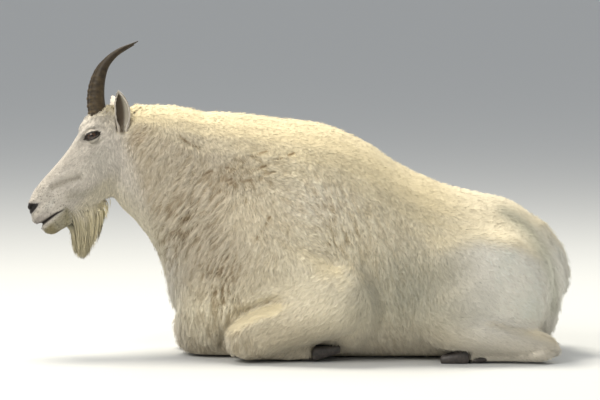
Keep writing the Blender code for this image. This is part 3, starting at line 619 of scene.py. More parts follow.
def draw_smooth(skin):
    """Rounds off the joins between the haunch, the flank and the rump."""
    mesh = skin.data
    points = vertex_array(mesh)
    ends = np.empty(2 * len(mesh.edges), np.int32)
    mesh.edges.foreach_get("vertices", ends)
    a, b = ends[0::2], ends[1::2]
    count = np.maximum(np.bincount(ends, minlength=len(points)), 1)[:, None]
    share = np.zeros(len(points))
    for line, width, much in DRAWN_SMOOTH:
        share = np.maximum(share, much * band(points, line, width))
    share = 0.6 * share[:, None] * smooth_step(0.03, 0.07, np.abs(points[:, 1]))[:, None]
    for _ in range(SMOOTH_ROUNDS):
        mean = np.stack([
            np.bincount(a, points[b, k], len(points)) + np.bincount(b, points[a, k], len(points))
            for k in range(3)
        ], axis=1) / count
        points = points + share * (mean - points)
    set_vertices(mesh, points)


def ear_axes(side):
    """Root, way to the tip, way that the cup opens, and way across an ear."""
    way = EAR_WAY.normalized()
    facing = (EAR_FACING - way * EAR_FACING.dot(way)).normalized()
    across = way.cross(facing)
    flip = Matrix.Diagonal((1, side, 1))
    return [np.array(flip @ v) for v in (EAR_ROOT, way, facing, across)]


def in_ear(local, side):
    """Where points lie from an ear's root: towards its tip, out of its cup, and across it."""
    root, way, facing, across = ear_axes(side)
    away = local - root
    return away @ way, away @ facing, away @ across


def open_ears(points):
    """Sinks the side of the head where it would fill the cup of an ear."""
    local = to_head(points)
    for side in (1, -1):
        reach, out, over = in_ear(local, side)
        share = 1 - smooth_step(0.0115, 0.0175, np.abs(over))
        share = share * smooth_step(0.000, 0.012, reach) * (1 - smooth_step(0.046, 0.060, reach))
        sunk = np.minimum(out, -0.0215) - out
        share = share * (out < 0.02) * (out > -0.03)
        local = local + ear_axes(side)[2] * (sunk * share)[:, None]
    return from_head(local)


def make_skin():
    skin = rough_skin()
    draw_smooth(skin)
    points, normals = vertex_array(skin.data), vertex_array(skin.data, "normal")
    points = points - normals * coat_depth(points)[:, None]
    points = shape_body(points, normals)
    points[:, 2] = np.maximum(points[:, 2], 0.0006)
    set_vertices(skin.data, points)
    finer_face(skin)
    smoothed(skin, 2)
    points, normals = vertex_array(skin.data), vertex_array(skin.data, "normal")
    set_vertices(skin.data, open_ears(shape_face(points, normals)))
    skin.data.shade_smooth()
    return skin


# Markings

CREAM, FACE_WHITE = (0.87, 0.755, 0.495), (0.55, 0.505, 0.435)
# The shaded line between the haunch and the strip of long hair on the rump, as x, z.
FURROW = ((0.505, 0.372), (0.560, 0.325), (0.600, 0.265), (0.622, 0.200), (0.630, 0.130))


def markings(points, normals):
    """The colour of skin and hair at each point, with painted shade on the flank and in the furrow of the
    thigh.
    """
    x, y, z = points.T
    local = to_head(points)
    colour = np.tile(CREAM, (len(points), 1))
    top = smooth_step(0.25, 0.75, normals[:, 2])

    def patch(middle_x, middle_z, wide, high):
        return bump_at(points * (1, 0, 1), (middle_x, 0, middle_z), (wide, 1.0, high))

    neck = (1 - smooth_step(-0.22, 0.02, x)) * (1 - top) * smooth_step(0.12, 0.24, z)
    # The sides, neck, rump, chest, painted shade on the flank, painted shade in the furrow of the thigh,
    # shoulder, middle, underside, forearm and the patch behind the ear.
    for share, place, tone in (
        (0.85, 1 - top, (0.86, 0.785, 0.61)),
        (0.85, neck, (0.54, 0.472, 0.362)),
        (0.90, smooth_step(0.30, 0.46, x) * (1 - 0.7 * top), (0.96, 0.925, 0.825)),
        (0.80, (1 - smooth_step(-0.34, -0.26, x)) * (1 - smooth_step(0.22, 0.34, z)), (0.72, 0.69, 0.61)),
        # Painted shade: the flank behind the elbow is darkened as it lies in shade.
        (0.80, patch(0.27, 0.18, 0.23, 0.19) * (1 - top), (0.42, 0.41, 0.33)),
        # Painted shade in the furrow between the haunch and the strip of long hair on the rump.
        (0.60, band(points, FURROW, 0.020) * smooth_step(0.03, 0.08, np.abs(y)), (0.56, 0.56, 0.43)),
        (0.80, patch(-0.100, 0.380, 0.150, 0.110) * (1 - top), (0.88, 0.78, 0.585)),
        (0.80, patch(0.050, 0.400, 0.130, 0.100) * (1 - top), (0.94, 0.86, 0.70)),
        (0.65, 1 - smooth_step(0.02, 0.14, z), (0.64, 0.565, 0.44)),
        (0.70, patch(-0.050, 0.080, 0.20, 0.10) * (1 - top), (0.52, 0.455, 0.33)),
        (0.55, patch(-0.397, 0.560, 0.035, 0.050), (0.52, 0.43, 0.31)),
    ):
        colour = blended(colour, tone, share * place)
    colour = blended(colour, FACE_WHITE, face_share(local) * is_near_head(points))
    colour *= (1 + 0.06 * fractal(points, 11.0, 3))[:, None]
    return np.clip(colour, 0.02, 0.95)


def face_marks(points, colour):
    """Dark bare skin round the eyes, nostrils and lips, and the shades of the face, among them painted shade in
    the folds round the eyes, beside the nose and on the edge of the jaw.
    """
    local = to_head(points)
    near = is_near_head(points)
    on_face = face_share(local) * near
    patches = 0.09 * fractal(local, 60.0, 2, 4.0) + 0.11 * fractal(local, 190.0, 2, 1.0)
    colour = colour * (1 + on_face * patches)[:, None]
    x, y, z = local.T

    def blend(target, share):
        nonlocal colour
        colour = blended(colour, target, share * near)

    for side in (1, -1):
        muzzle = bump_at(local, (0.275, 0.035 * side, 0.001), (0.048, 0.05, 0.020))
        blend((0.34, 0.315, 0.27), 0.60 * muzzle)
        pale = bump_at(local, (0.290, 0.030 * side, -0.022), (0.034, 0.05, 0.012))
        blend((0.53, 0.51, 0.45), 0.60 * pale)
    for line, width, tone, share in FACE_LINES:
        blend(tone, share * (band(local, line, width) * (np.abs(y) > 0.012)))
    cheek = bump_at(local * (1, 0, 1), (0.125, 0, -0.030), (0.075, 1.0, 0.055))
    blend((0.46, 0.43, 0.37), 0.65 * cheek * on_face)
    chin = smooth_step(-0.048, -0.066, z) * smooth_step(0.250, 0.285, x)
    blend((0.30, 0.27, 0.17), 0.75 * chin)
    chin_front = smooth_step(0.308, 0.330, x) * smooth_step(-0.050, -0.062, z)
    blend((0.20, 0.165, 0.075), 0.75 * chin_front)
    jaw_hair = smooth_step(-0.060, -0.085, z) * (1 - smooth_step(0.24, 0.27, x)) * smooth_step(0.10, 0.16, x)
    blend((0.62, 0.56, 0.42), 0.7 * jaw_hair)
    lip = smooth_step(0.268, 0.300, x) * bump_at(local, (0.33, 0, -0.032), (0.07, 0.08, 0.024))
    blend((0.20, 0.172, 0.165), 0.90 * lip)
    under, deep = lip_line(local)
    mouth = np.exp(-((under / (0.0012 + 0.62 * deep)) ** 2)) * smooth_step(0.0, 0.0022, deep)
    blend((0.018, 0.014, 0.012), 1.3 * mouth)
    for side in (1, -1):
        reach, out, over = in_ear(local, side)
        foot = 1 - smooth_step(0.6, 1.0, np.hypot(over / 0.016, (reach - 0.020) / 0.026))
        blend((0.11, 0.09, 0.065), 0.9 * (foot * (np.abs(out) < 0.032)))
        pad = nose_pad_reach(local, side)
        blend((0.22, 0.20, 0.19), 0.55 * (1 - smooth_step(1.0, 1.7, pad)))
        blend((0.026, 0.023, 0.022), 1.10 * (1 - smooth_step(0.90, 1.10, pad)))
        a, b, depth = on_eye(local, side)
        rim = np.minimum(almond(a, b, 0.003, 0.0030), np.hypot((a - 0.0200) / 0.0055, (b + 0.0010) / 0.0028))
        facing = depth > -0.008
        blend((0.030, 0.022, 0.016), 1.2 * (1 - smooth_step(0.85, 1.15, rim)) * facing)
        # Painted shade in the folds under the eye.
        for shift, drop, share in ((0.000, 0.0205, 0.60), (-0.016, 0.0185, 0.45)):
            fold = np.hypot((a - shift) / 0.022, (b + drop + 0.12 * a) / 0.0065)
            blend((0.27, 0.25, 0.20), share * (1 - smooth_step(0.2, 1.2, fold)) * facing)
        # Painted shade in the crease over the eye.
        brow = np.hypot((a + 0.002) / 0.018, (b - 0.0165) / 0.0040)
        blend((0.36, 0.31, 0.23), 0.40 * (1 - smooth_step(0.2, 1.2, brow)) * facing)
    return colour


def colour_layer(mesh, colours):
    """Stores a colour for each vertex."""
    layer = mesh.color_attributes.new("tone", "FLOAT_COLOR", "POINT")
    full = np.ones((len(colours), 4), np.float32)
    full[:, :3] = colours
    layer.data.foreach_set("color", full.ravel())


# Materials


class Nodes:
    """A material's node tree, with short ways to add to it."""

    def __init__(self, name, **settings):
        self.material = bpy.data.materials.new(name)
        self.material.use_nodes = True
        self.tree = self.material.node_tree
        self.shader = self.tree.nodes["Principled BSDF"]
        for key, value in settings.items():
            self.shader.inputs[key.replace("_", " ")].default_value = value

    def add(self, kind, **settings):
        node = self.tree.nodes.new("ShaderNode" + kind)
        for key, value in settings.items():
            if key in node.inputs:
                node.inputs[key].default_value = value
            else:
                setattr(node, key, value)
        return node

    def link(self, source, target):
        self.tree.links.new(source, target)

    def noise(self, scale, detail=3.0, where=None, roughness=0.55):
        where = where or self.add("TexCoord").outputs["Object"]
        node = self.add("TexNoise", Scale=scale, Detail=detail, Roughness=roughness)
        self.link(where, node.inputs["Vector"])
        return node.outputs["Fac"]

    def tone(self):
        return self.add("Attribute", attribute_name="tone").outputs["Color"]

    def ramp(self, source, *stops):
        node = self.add("ValToRGB")
        ramp = node.color_ramp
        while len(ramp.elements) < len(stops):
            ramp.elements.new(0.5)
        for element, (place, colour) in zip(ramp.elements, stops):
            element.position = place
            element.color = (*colour, 1.0)
        self.link(source, node.inputs["Fac"])
        return node.outputs["Color"]

    def mix(self, first, second, share, blend="MIX"):
        node = self.add("Mix", data_type="RGBA", blend_type=blend)
        for value, socket in ((first, node.inputs[6]), (second, node.inputs[7]), (share, node.inputs[0])):
            if isinstance(value, bpy.types.NodeSocket):
                self.link(value, socket)
            elif isinstance(value, (int, float)):
                socket.default_value = value
            else:
                socket.default_value = (*value, 1.0)
        return node.outputs[2]

    def maths(self, operation, *values):
        node = self.add("Math", operation=operation)
        for value, socket in zip(values, node.inputs):
            if isinstance(value, bpy.types.NodeSocket):
                self.link(value, socket)
            else:
                socket.default_value = value
        return node.outputs[0]

    def bump(self, height, strength, distance):
        node = self.add("Bump", Strength=strength, Distance=distance)
        self.link(height, node.inputs["Height"])
        self.link(node.outputs["Normal"], self.shader.inputs["Normal"])

    def colour(self, source):
        self.link(source, self.shader.inputs["Base Color"])


def grey(value):
    return (value, value, value)


def hair_material():
    """Hair whose tone comes from its tuft, broken up by fine strands."""
    made = Nodes("coat_hair", Roughness=0.80, Specular_IOR_Level=0.12, Sheen_Weight=0.15, Sheen_Roughness=0.5)
    fine = made.ramp(made.noise(520.0, 2.0), (0.25, grey(0.92)), (0.75, grey(1.04)))
    made.colour(made.mix(made.tone(), fine, 1.0, "MULTIPLY"))
    return made.material


def skin_material(name):
    """Short close hair on the face, and the wool that shows between the tufts elsewhere."""
    made = Nodes(name, Roughness=0.66, Specular_IOR_Level=0.25)
    tone = made.tone()
    grain = made.noise(650.0, 3.0)
    patches = made.noise(75.0, 4.0)
    fine = made.ramp(grain, (0.3, grey(0.86)), (0.7, grey(1.05)))
    mottled = made.ramp(patches, (0.32, grey(0.94)), (0.62, grey(1.03)))
    made.colour(made.mix(made.mix(tone, fine, 1.0, "MULTIPLY"), mottled, 1.0, "MULTIPLY"))
    made.bump(grain, 0.30, 0.0010)
    return made.material


def horn_material():
    made = Nodes("horn", Roughness=0.52, Specular_IOR_Level=0.30)
    where = made.add("TexCoord").outputs["Object"]
    streaks = made.noise(90.0, 5.0, where)
    fine = made.noise(700.0, 3.0, where)
    stops = (0.25, (0.016, 0.011, 0.006)), (0.60, (0.050, 0.034, 0.016)), (0.85, (0.090, 0.064, 0.030))
    made.colour(made.mix(made.ramp(streaks, *stops), made.tone(), 1.0, "MULTIPLY"))
    made.bump(fine, 0.25, 0.0006)
    return made.material


# Tufts


def strand_faces(rings):
    """Triangles of one tuft of the given rings of three points and a tip, each seen from outside."""
    faces = []
    for ring in range(rings - 1):
        for side in range(3):
            a, b = 3 * ring + side, 3 * ring + (side + 1) % 3
            faces += [(a, b, b + 3), (a, b + 3, a + 3)]
    last = 3 * (rings - 1)
    faces += [(last, last + 1, last + 3), (last + 1, last + 2, last + 3), (last + 2, last, last + 3)]
    faces.append((2, 1, 0))
    return np.array(faces)


def mesh_from(name, points, faces, tones, normals, uvs):
    """A mesh out of arrays: vertices, triangles, a tone and a shading normal a vertex, and the map."""
    mesh = bpy.data.meshes.new(name)
    mesh.vertices.add(len(points))
    mesh.vertices.foreach_set("co", np.asarray(points, np.float32).ravel())
    mesh.loops.add(3 * len(faces))
    mesh.loops.foreach_set("vertex_index", np.asarray(faces, np.int32).ravel())
    mesh.polygons.add(len(faces))
    mesh.polygons.foreach_set("loop_start", np.arange(0, 3 * len(faces), 3, dtype=np.int32))
    mesh.update(calc_edges=True)
    layer = mesh.uv_layers.new(name="OFBake")
    layer.data.foreach_set("uv", np.asarray(uvs[np.asarray(faces).ravel()], np.float32).ravel())
    colour_layer(mesh, tones)
    mesh.shade_smooth()
    mesh.normals_split_custom_set_from_vertices(normals.astype(np.float32))
    return mesh


def body_map(points):
    """An unwrap of the skin's own shape: along the body, and round it."""
    x, y, z = points.T
    middle = np.interp(x, (-0.69, -0.45, -0.30, 0.10, 0.45, 0.68), (0.36, 0.48, 0.42, 0.28, 0.20, 0.18))
    around = np.arctan2(y, middle - z) / (2 * math.pi) + 0.5
    return np.stack([x, around], axis=1)


# How wide a tuft's patch is on the map, and the most triangles in a piece of the coat.
PATCH, MOST_COAT_TRIANGLES = 0.003, 190000


class Coat:
    """Tufts of hair of one kind, all with the same number of rings, kept as arrays."""

    def __init__(self, rings):
        self.rings = rings
        self.points, self.tones, self.normals, self.roots = [], [], [], []

    def add(self, centres, side, up, halves, tones, soft, shading=None):
        """Strands along centre lines of shape (count, rings + 1, 3), with half widths and tones by ring.

        The soft part of the shading follows up, or the normals given for each ring and the tip.
        """
        count, rings = len(centres), self.rings
        points = np.empty((count, 3 * rings + 1, 3))
        own, colours = np.empty_like(points), np.empty_like(points)
        for ring in range(rings):
            half = halves[:, ring : ring + 1]
            centre = centres[:, ring]
            points[:, 3 * ring] = centre - side * half
            points[:, 3 * ring + 1] = centre + side * half
            points[:, 3 * ring + 2] = centre + up * half
            own[:, 3 * ring] = unit(-side - 0.35 * up)
            own[:, 3 * ring + 1] = unit(side - 0.35 * up)
            own[:, 3 * ring + 2] = up
            colours[:, 3 * ring : 3 * ring + 3] = tones[:, ring : ring + 1]
        points[:, -1], own[:, -1], colours[:, -1] = centres[:, -1], up, tones[:, -1]
        heading = unit(centres[:, -1] - centres[:, 0])
        if shading is None:
            shading = np.repeat(up[:, None], rings + 1, axis=1)
        lean = unit(shading + 0.30 * heading[:, None])
        lean = np.concatenate([np.repeat(lean[:, :-1], 3, axis=1), lean[:, -1:]], axis=1)
        self.points.append(points)
        self.tones.append(np.clip(colours, 0.0, 0.97))
        self.normals.append(unit(lean * soft + own * (1 - soft)))
        self.roots.append(centres[:, 0])

    def pieces(self, name, material):
        """Makes the meshes, in stretches from the head to the rump that each stay small enough."""
        points, tones = np.concatenate(self.points), np.concatenate(self.tones)
        normals, roots = np.concatenate(self.normals), np.concatenate(self.roots)
        faces = strand_faces(self.rings)
        corners = np.array([(u, ring / self.rings) for ring in range(self.rings) for u in (0, 1, 0.5)])
        corners = np.vstack([corners, (0.5, 1.0)])
        order = np.argsort(roots[:, 0], kind="stable")
        parts = math.ceil(len(order) * len(faces) / MOST_COAT_TRIANGLES)
        made = []
        for index, chosen in enumerate(np.array_split(order, parts)):
            count, each = len(chosen), points.shape[1]
            place = body_map(roots[chosen])
            low, high = place.min(axis=0), place.max(axis=0)
            place = 0.01 + 0.98 * (place - low) / np.maximum(high - low, 1e-6)
            uvs = place[:, None, :] + (corners[None] - 0.5) * PATCH
            every = (faces[None] + each * np.arange(count)[:, None, None]).reshape(-1, 3)
            label = name if parts == 1 else f"{name}_{index + 1}"
            rows = [values[chosen].reshape(-1, 3) for values in (points, tones, normals)]
            mesh = mesh_from(label, rows[0], every, *rows[1:], uvs.reshape(-1, 2))
            mesh.materials.append(material)
            made.append(piece_done(object_of(label, mesh)))
        return made


def face_roots(mesh, rng):
    """One root in each face of a mesh, off its middle by chance, with the smooth normal there."""
    count = len(mesh.polygons)
    start, total = np.empty(count, np.int32), np.empty(count, np.int32)
    corner = np.empty(len(mesh.loops), np.int32)
    mesh.polygons.foreach_get("loop_start", start)
    mesh.polygons.foreach_get("loop_total", total)
    mesh.loops.foreach_get("vertex_index", corner)
    points, normals = vertex_array(mesh), vertex_array(mesh, "normal")
    a, b, c = (corner[start + k] for k in (0, 1, 2))
    d = corner[start + total - 1]
    centre = (points[a] + points[b] + points[c] + points[d]) / 4
    ways = unit(normals[a] + normals[b] + normals[c] + normals[d])
    jitter = rng.uniform(-0.5, 0.5, (count, 2))
    centre = centre + (points[b] - points[a]) * jitter[:, :1] + (points[d] - points[a]) * jitter[:, 1:]
    return centre, ways


# Which way the hair lies: along each leg, from the elbow or stifle down.
LEG_LINES = (
    ((0.074, -0.156, 0.166), (-0.128, -0.150, 0.058), 0.105),
    ((-0.010, 0.154, 0.166), (-0.266, 0.120, 0.058), 0.105),
    ((0.352, -0.165, 0.110), (0.600, -0.158, 0.038), 0.070),
    ((0.352, 0.165, 0.110), (0.600, 0.158, 0.038), 0.070),
)


def lie(points, normals):
    """The way that the hair lies at each point, along the surface."""
    x, y, z = points.T
    local = to_head(points)
    ways = np.tile(np.array((0.42, 0.0, -0.72)), (len(points), 1))

    def blend(target, share):
        nonlocal ways
        ways = blended(ways, target, share)

    blend((0.30, 0.0, -0.95), smooth_step(0.05, 0.20, x) * (1 - smooth_step(0.30, 0.42, x)))
    blend((0.62, 0.0, -0.55), smooth_step(0.34, 0.46, x))
    blend((0.20, 0.0, -0.98), smooth_step(0.56, 0.64, x))
    blend((0.18, 0.0, -0.98), 1 - smooth_step(-0.36, -0.20, x))
    blend((1.0, 0.0, -0.12), smooth_step(0.55, 0.90, normals[:, 2]))
    for start, end, radius in LEG_LINES:
        start, end = np.array(start), np.array(end)
        along = end - start
        t = np.clip(((points - start) @ along) / (along @ along), 0, 1)
        away = np.linalg.norm(points - (start + t[:, None] * along), axis=1)
        outside = np.sign(start[1]) * y > 0.09
        blend(unit(along) + (0, 0, -0.25), (1 - smooth_step(0.85 * radius, 1.15 * radius, away)) * outside)
    on_face = face_share(local) * is_near_head(points)
    down_face = turned_from_head((1.0, 0.0, -0.15))
    blend(down_face, on_face)
    cheek = on_face * smooth_step(0.0, -0.05, local[:, 2]) * (1 - smooth_step(0.12, 0.22, local[:, 0]))
    blend((0.25, 0.0, -0.97), cheek)
    poll = (1 - smooth_step(0.01, 0.07, local[:, 0])) * smooth_step(-0.02, 0.0, local[:, 2])
    blend((0.9, 0.0, 0.10), is_near_head(points) * poll)
    return unit(flattened(ways, normals))


def turned_in_surface(ways, normals, turns):
    """Turns each way about its normal by an angle in degrees."""
    side = np.cross(normals, ways)
    turns = np.radians(turns)[:, None]
    return ways * np.cos(turns) + side * np.sin(turns)


def nearest_centres(roots, centres):
    """For each root, the nearest centre and the distances to the two nearest."""
    tree = KDTree(len(centres))
    for i, centre in enumerate(centres):
        tree.insert(centre, i)
    tree.balance()
    index, near, next_near = (np.empty(len(roots), int), np.empty(len(roots)), np.empty(len(roots)))
    for i, root in enumerate(roots):
        first, second = tree.find_n(root, 2)
        index[i], near[i], next_near[i] = first[1], first[2], second[2]
    return index, near, next_near


# The wool: width of a tuft on the body and on the face, how many tufts a face of the skin's mesh
# carries there, the share of the body's that are longer curved wisps, and that of its short fuzz.
TUFT_WIDTH, FACE_TUFT_WIDTH = 0.0029, 0.0020
TUFTS_A_FACE, FACE_TUFTS_A_FACE, WISP_SHARE, FUZZ_SHARE = 2.45, 0.50, 0.04, 0.10
# How deep a crease sinks the tufts and how much painted shade darkens it, how high the wool swells between
# creases and the step that its slope is read over, then how many pebbles a metre and how high.
CREASE_DEPTH, CREASE_SHADE, PUFF_HEIGHT, SLOPE_STEP = 0.0032, 0.90, 0.0060, 0.002
PEBBLES, PEBBLE_HEIGHT = 105.0, 0.0032


def coat_roots(skin, rng):
    """Roots and normals for the whole coat, and which of them carry the short hair of the face."""
    roots, normals, faces = [], [], []
    for layer in range(math.ceil(TUFTS_A_FACE)):
        places, ways = face_roots(skin.data, rng)
        local = to_head(places)
        near_head = is_near_head(places)
        on_face = face_share(local) * near_head > rng.uniform(0.3, 0.7, len(places))
        fine = places[:, 0] < FINE_BEFORE_X
        wanted = np.where(fine, TUFTS_A_FACE / 4, TUFTS_A_FACE) - layer
        wanted = np.where(on_face, FACE_TUFTS_A_FACE - layer, wanted)
        keep = rng.uniform(size=len(places)) < wanted
        keep &= ~((ways[:, 2] < -0.45) & (places[:, 2] < 0.02))
        keep &= clear_of_features(local, near_head)
        roots.append(places[keep])
        normals.append(ways[keep])
        faces.append(on_face[keep])
    return np.concatenate(roots), np.concatenate(normals), np.concatenate(faces)


def swell_of_wool(points, zone, pebbled):
    """Height of the wool's soft relief at each point: the swell between creases, and small pebbles."""
    _, puff = fleece(points, zone)
    return PUFF_HEIGHT * puff + PEBBLE_HEIGHT * pebbled * fractal(points, PEBBLES, 2, 8.1)


def wool_normals(points, normals, ways, side, zone, pebbled):
    """The normals that the tufts take from the soft relief of the wool at the given points."""
    here = swell_of_wool(points, zone, pebbled)
    along = (swell_of_wool(points + SLOPE_STEP * ways, zone, pebbled) - here) / SLOPE_STEP
    across = (swell_of_wool(points + SLOPE_STEP * side, zone, pebbled) - here) / SLOPE_STEP
    return unit(normals - along[:, None] * ways - across[:, None] * side), here


def stopped_by_partings(roots, reach):
    """The share of each tuft's reach that is free before it would cover a parting."""
    share = np.ones(len(roots))
    for t in (1.0, 0.66, 0.33):
        share = np.where(partings(roots + t * reach) > 0.45, np.maximum(t - 0.30, 0.20), share)
    return share


def wool(skin, rng):
    """The coat on the body in straight tufts, and in curved ones its wisps, fuzz and the hair on the face."""
    roots, normals, on_face = coat_roots(skin, rng)
    count = len(roots)
    zone = crease_zone(roots, normals) * ~on_face
    smooth_top = smooth_step(0.45, 0.85, normals[:, 2])
    pebbled = 1 - 0.80 * smooth_step(0.35, 0.75, normals[:, 2])
    pebbled = pebbled * (1 - 0.65 * smooth_step(0.30, 0.45, roots[:, 0])) * (1 - 0.7 * on_face)
    kind = rng.uniform(size=count)
    wisp = (kind < WISP_SHARE * (1 - 0.8 * zone)) & ~on_face
    fuzz = (kind > 1 - FUZZ_SHARE) & ~on_face
    lengths = coat_length(roots) * rng.uniform(0.66, 1.02, count) * (1 + 0.22 * wisp) * (1 - 0.42 * fuzz)
    lengths *= (1 - 0.34 * zone * ~fuzz) * (1 - 0.20 * smooth_top)
    scatter = 13 - 3 * zone + 14 * smooth_top + 20 * fuzz
    swirl = 16 * (1 - 0.4 * zone) * fractal(roots, 11.0, 2, 5.0) + scatter * rng.normal(0, 1, count)
    ways = along_creases(roots, lie(roots, normals), zone)
    ways = unit(flattened(ways, normals))
    ways = turned_in_surface(ways, normals, swirl * (1 - 0.4 * on_face))
    side = unit(np.cross(normals, ways))
    lengths *= np.where(fuzz, 1, stopped_by_partings(roots, ways * lengths[:, None]))
    lift = rng.uniform(0.19, 0.27, count) * (1 + 0.45 * wisp) * (1 - 0.30 * on_face) * (1 - 0.25 * smooth_top)
    lift = np.where(fuzz, rng.uniform(0.55, 1.05, count), lift)
    widths = np.where(on_face, FACE_TUFT_WIDTH, TUFT_WIDTH) * rng.uniform(0.75, 1.2, count)
    widths *= (1 - 0.4 * wisp) * (1 - 0.62 * fuzz)
    curl = rng.uniform(-0.16, 0.16, count)[:, None]
    size, rise = lengths[:, None], lift[:, None]
    middle = roots + ways * 0.46 * size + normals * rise * size + side * 0.45 * curl * size
    tip = roots + ways * 0.95 * size + normals * 1.15 * rise * size + side * curl * size
    root_normals, root_swell = wool_normals(roots, normals, ways, side, zone, pebbled)
    tip_normals, tip_swell = wool_normals(tip, normals, ways, side, zone, pebbled)
    root_crease, tip_crease = fleece(roots, zone)[0], fleece(tip, zone)[0]
    start = roots - normals * (0.0012 - 0.5 * root_swell + CREASE_DEPTH * root_crease)[:, None]
    tip = tip + normals * (tip_swell - CREASE_DEPTH * tip_crease)[:, None]
    swell, crease = 0.5 * (root_swell + tip_swell), 0.5 * (root_crease + tip_crease)
    middle += normals * (swell - CREASE_DEPTH * crease)[:, None]
    grain = (0.040 + 0.045 * zone - 0.020 * smooth_top + 0.07 * on_face) * rng.normal(0, 1, count)
    tones = face_marks(roots, markings(roots, normals)) * (1 + grain)[:, None]
    muzzle = on_face * smooth_step(0.235, 0.275, to_head(roots)[:, 0])
    tones *= 1 - 0.45 * (muzzle * (rng.uniform(size=count) < 0.16))[:, None]
    # Painted shade: a root a little darker than its tip, and both darker and warmer in a crease or parting.
    root_tone = in_crease(tones, root_crease, 0.97)
    tip_tone = in_crease(tones, tip_crease, 1.03)
    lines = np.stack([start, middle, tip], axis=1)
    lines[:, :, 2] = np.maximum(lines[:, :, 2], 0.0012)
    shades = np.stack([root_tone, 0.35 * root_tone + 0.65 * tip_tone, tip_tone], axis=1)
    shading = np.stack([root_normals, unit(root_normals + tip_normals), tip_normals], axis=1)
    curved = on_face | wisp
    short, long = Coat(1), Coat(2)
    straight_ones, curved_ones = (short, ~curved, [0, 2], (0.58,)), (long, curved, [0, 1, 2], (0.42, 0.50))
    for coat, chosen, rings, shares in (straight_ones, curved_ones):
        parts = [values[chosen][:, rings] for values in (lines, shades, shading)]
        halves = widths[chosen, None] * np.array(shares)
        coat.add(parts[0], side[chosen], normals[chosen], halves, parts[1], 0.88, parts[2])
    return short, long


def before_ear(local, side, below=0.004):
    """Where hair would stand in front of the cup of an ear."""
    reach, out, over = in_ear(local, side)
    behind = np.where(reach > -0.012, 0.024, 0.012)
    cup = (np.abs(over) < 0.021) & (out > -behind) & (out < 0.05)
    return cup & (reach > -below) & (reach < 0.06)


def clear_of_features(local, near_head):
    """Leaves the eyes, nostrils, cups of the ears and the line of the mouth bare."""
    clear = np.ones(len(local), bool)
    for side in (1, -1):
        a, b, depth = on_eye(local, side)
        clear &= ~((almond(a, b, 0.0036, 0.0042) < 1.05) & (depth > -0.012))
        clear &= ~(nose_pad_reach(local, side) < 1.08)
        clear &= ~before_ear(local, side)
    under, deep = lip_line(local)
    clear &= ~((np.abs(under) < 0.002 + 0.7 * deep) & (deep > 0.0004))
    return clear | ~near_head


# Beard: its lower outline seen from the side, as x, z from its front to its back, the line on the cheek
# under which its hair grows, and where hair that grows from one x hangs to.
BEARD_OUTLINE = (
    *((-0.590, 0.330), (-0.580, 0.316), (-0.570, 0.276), (-0.556, 0.255), (-0.540, 0.249), (-0.528, 0.259)),
    *((-0.520, 0.282), (-0.510, 0.312), (-0.500, 0.340), (-0.486, 0.360), (-0.468, 0.376), (-0.446, 0.386)),
)
BEARD_TOP = ((-0.600, 0.350), (-0.575, 0.378), (-0.530, 0.392), (-0.465, 0.404), (-0.440, 0.404))
BEARD_FROM_X = (-0.600, -0.585, -0.560, -0.540, -0.510, -0.490, -0.480)
BEARD_TO_X = (-0.574, -0.564, -0.542, -0.527, -0.506, -0.490, -0.478)
BEARD_MIDDLE_X, BEARD_STRANDS, BEARD_RINGS, BEARD_LOCKS = -0.533, 6500, 5, 220


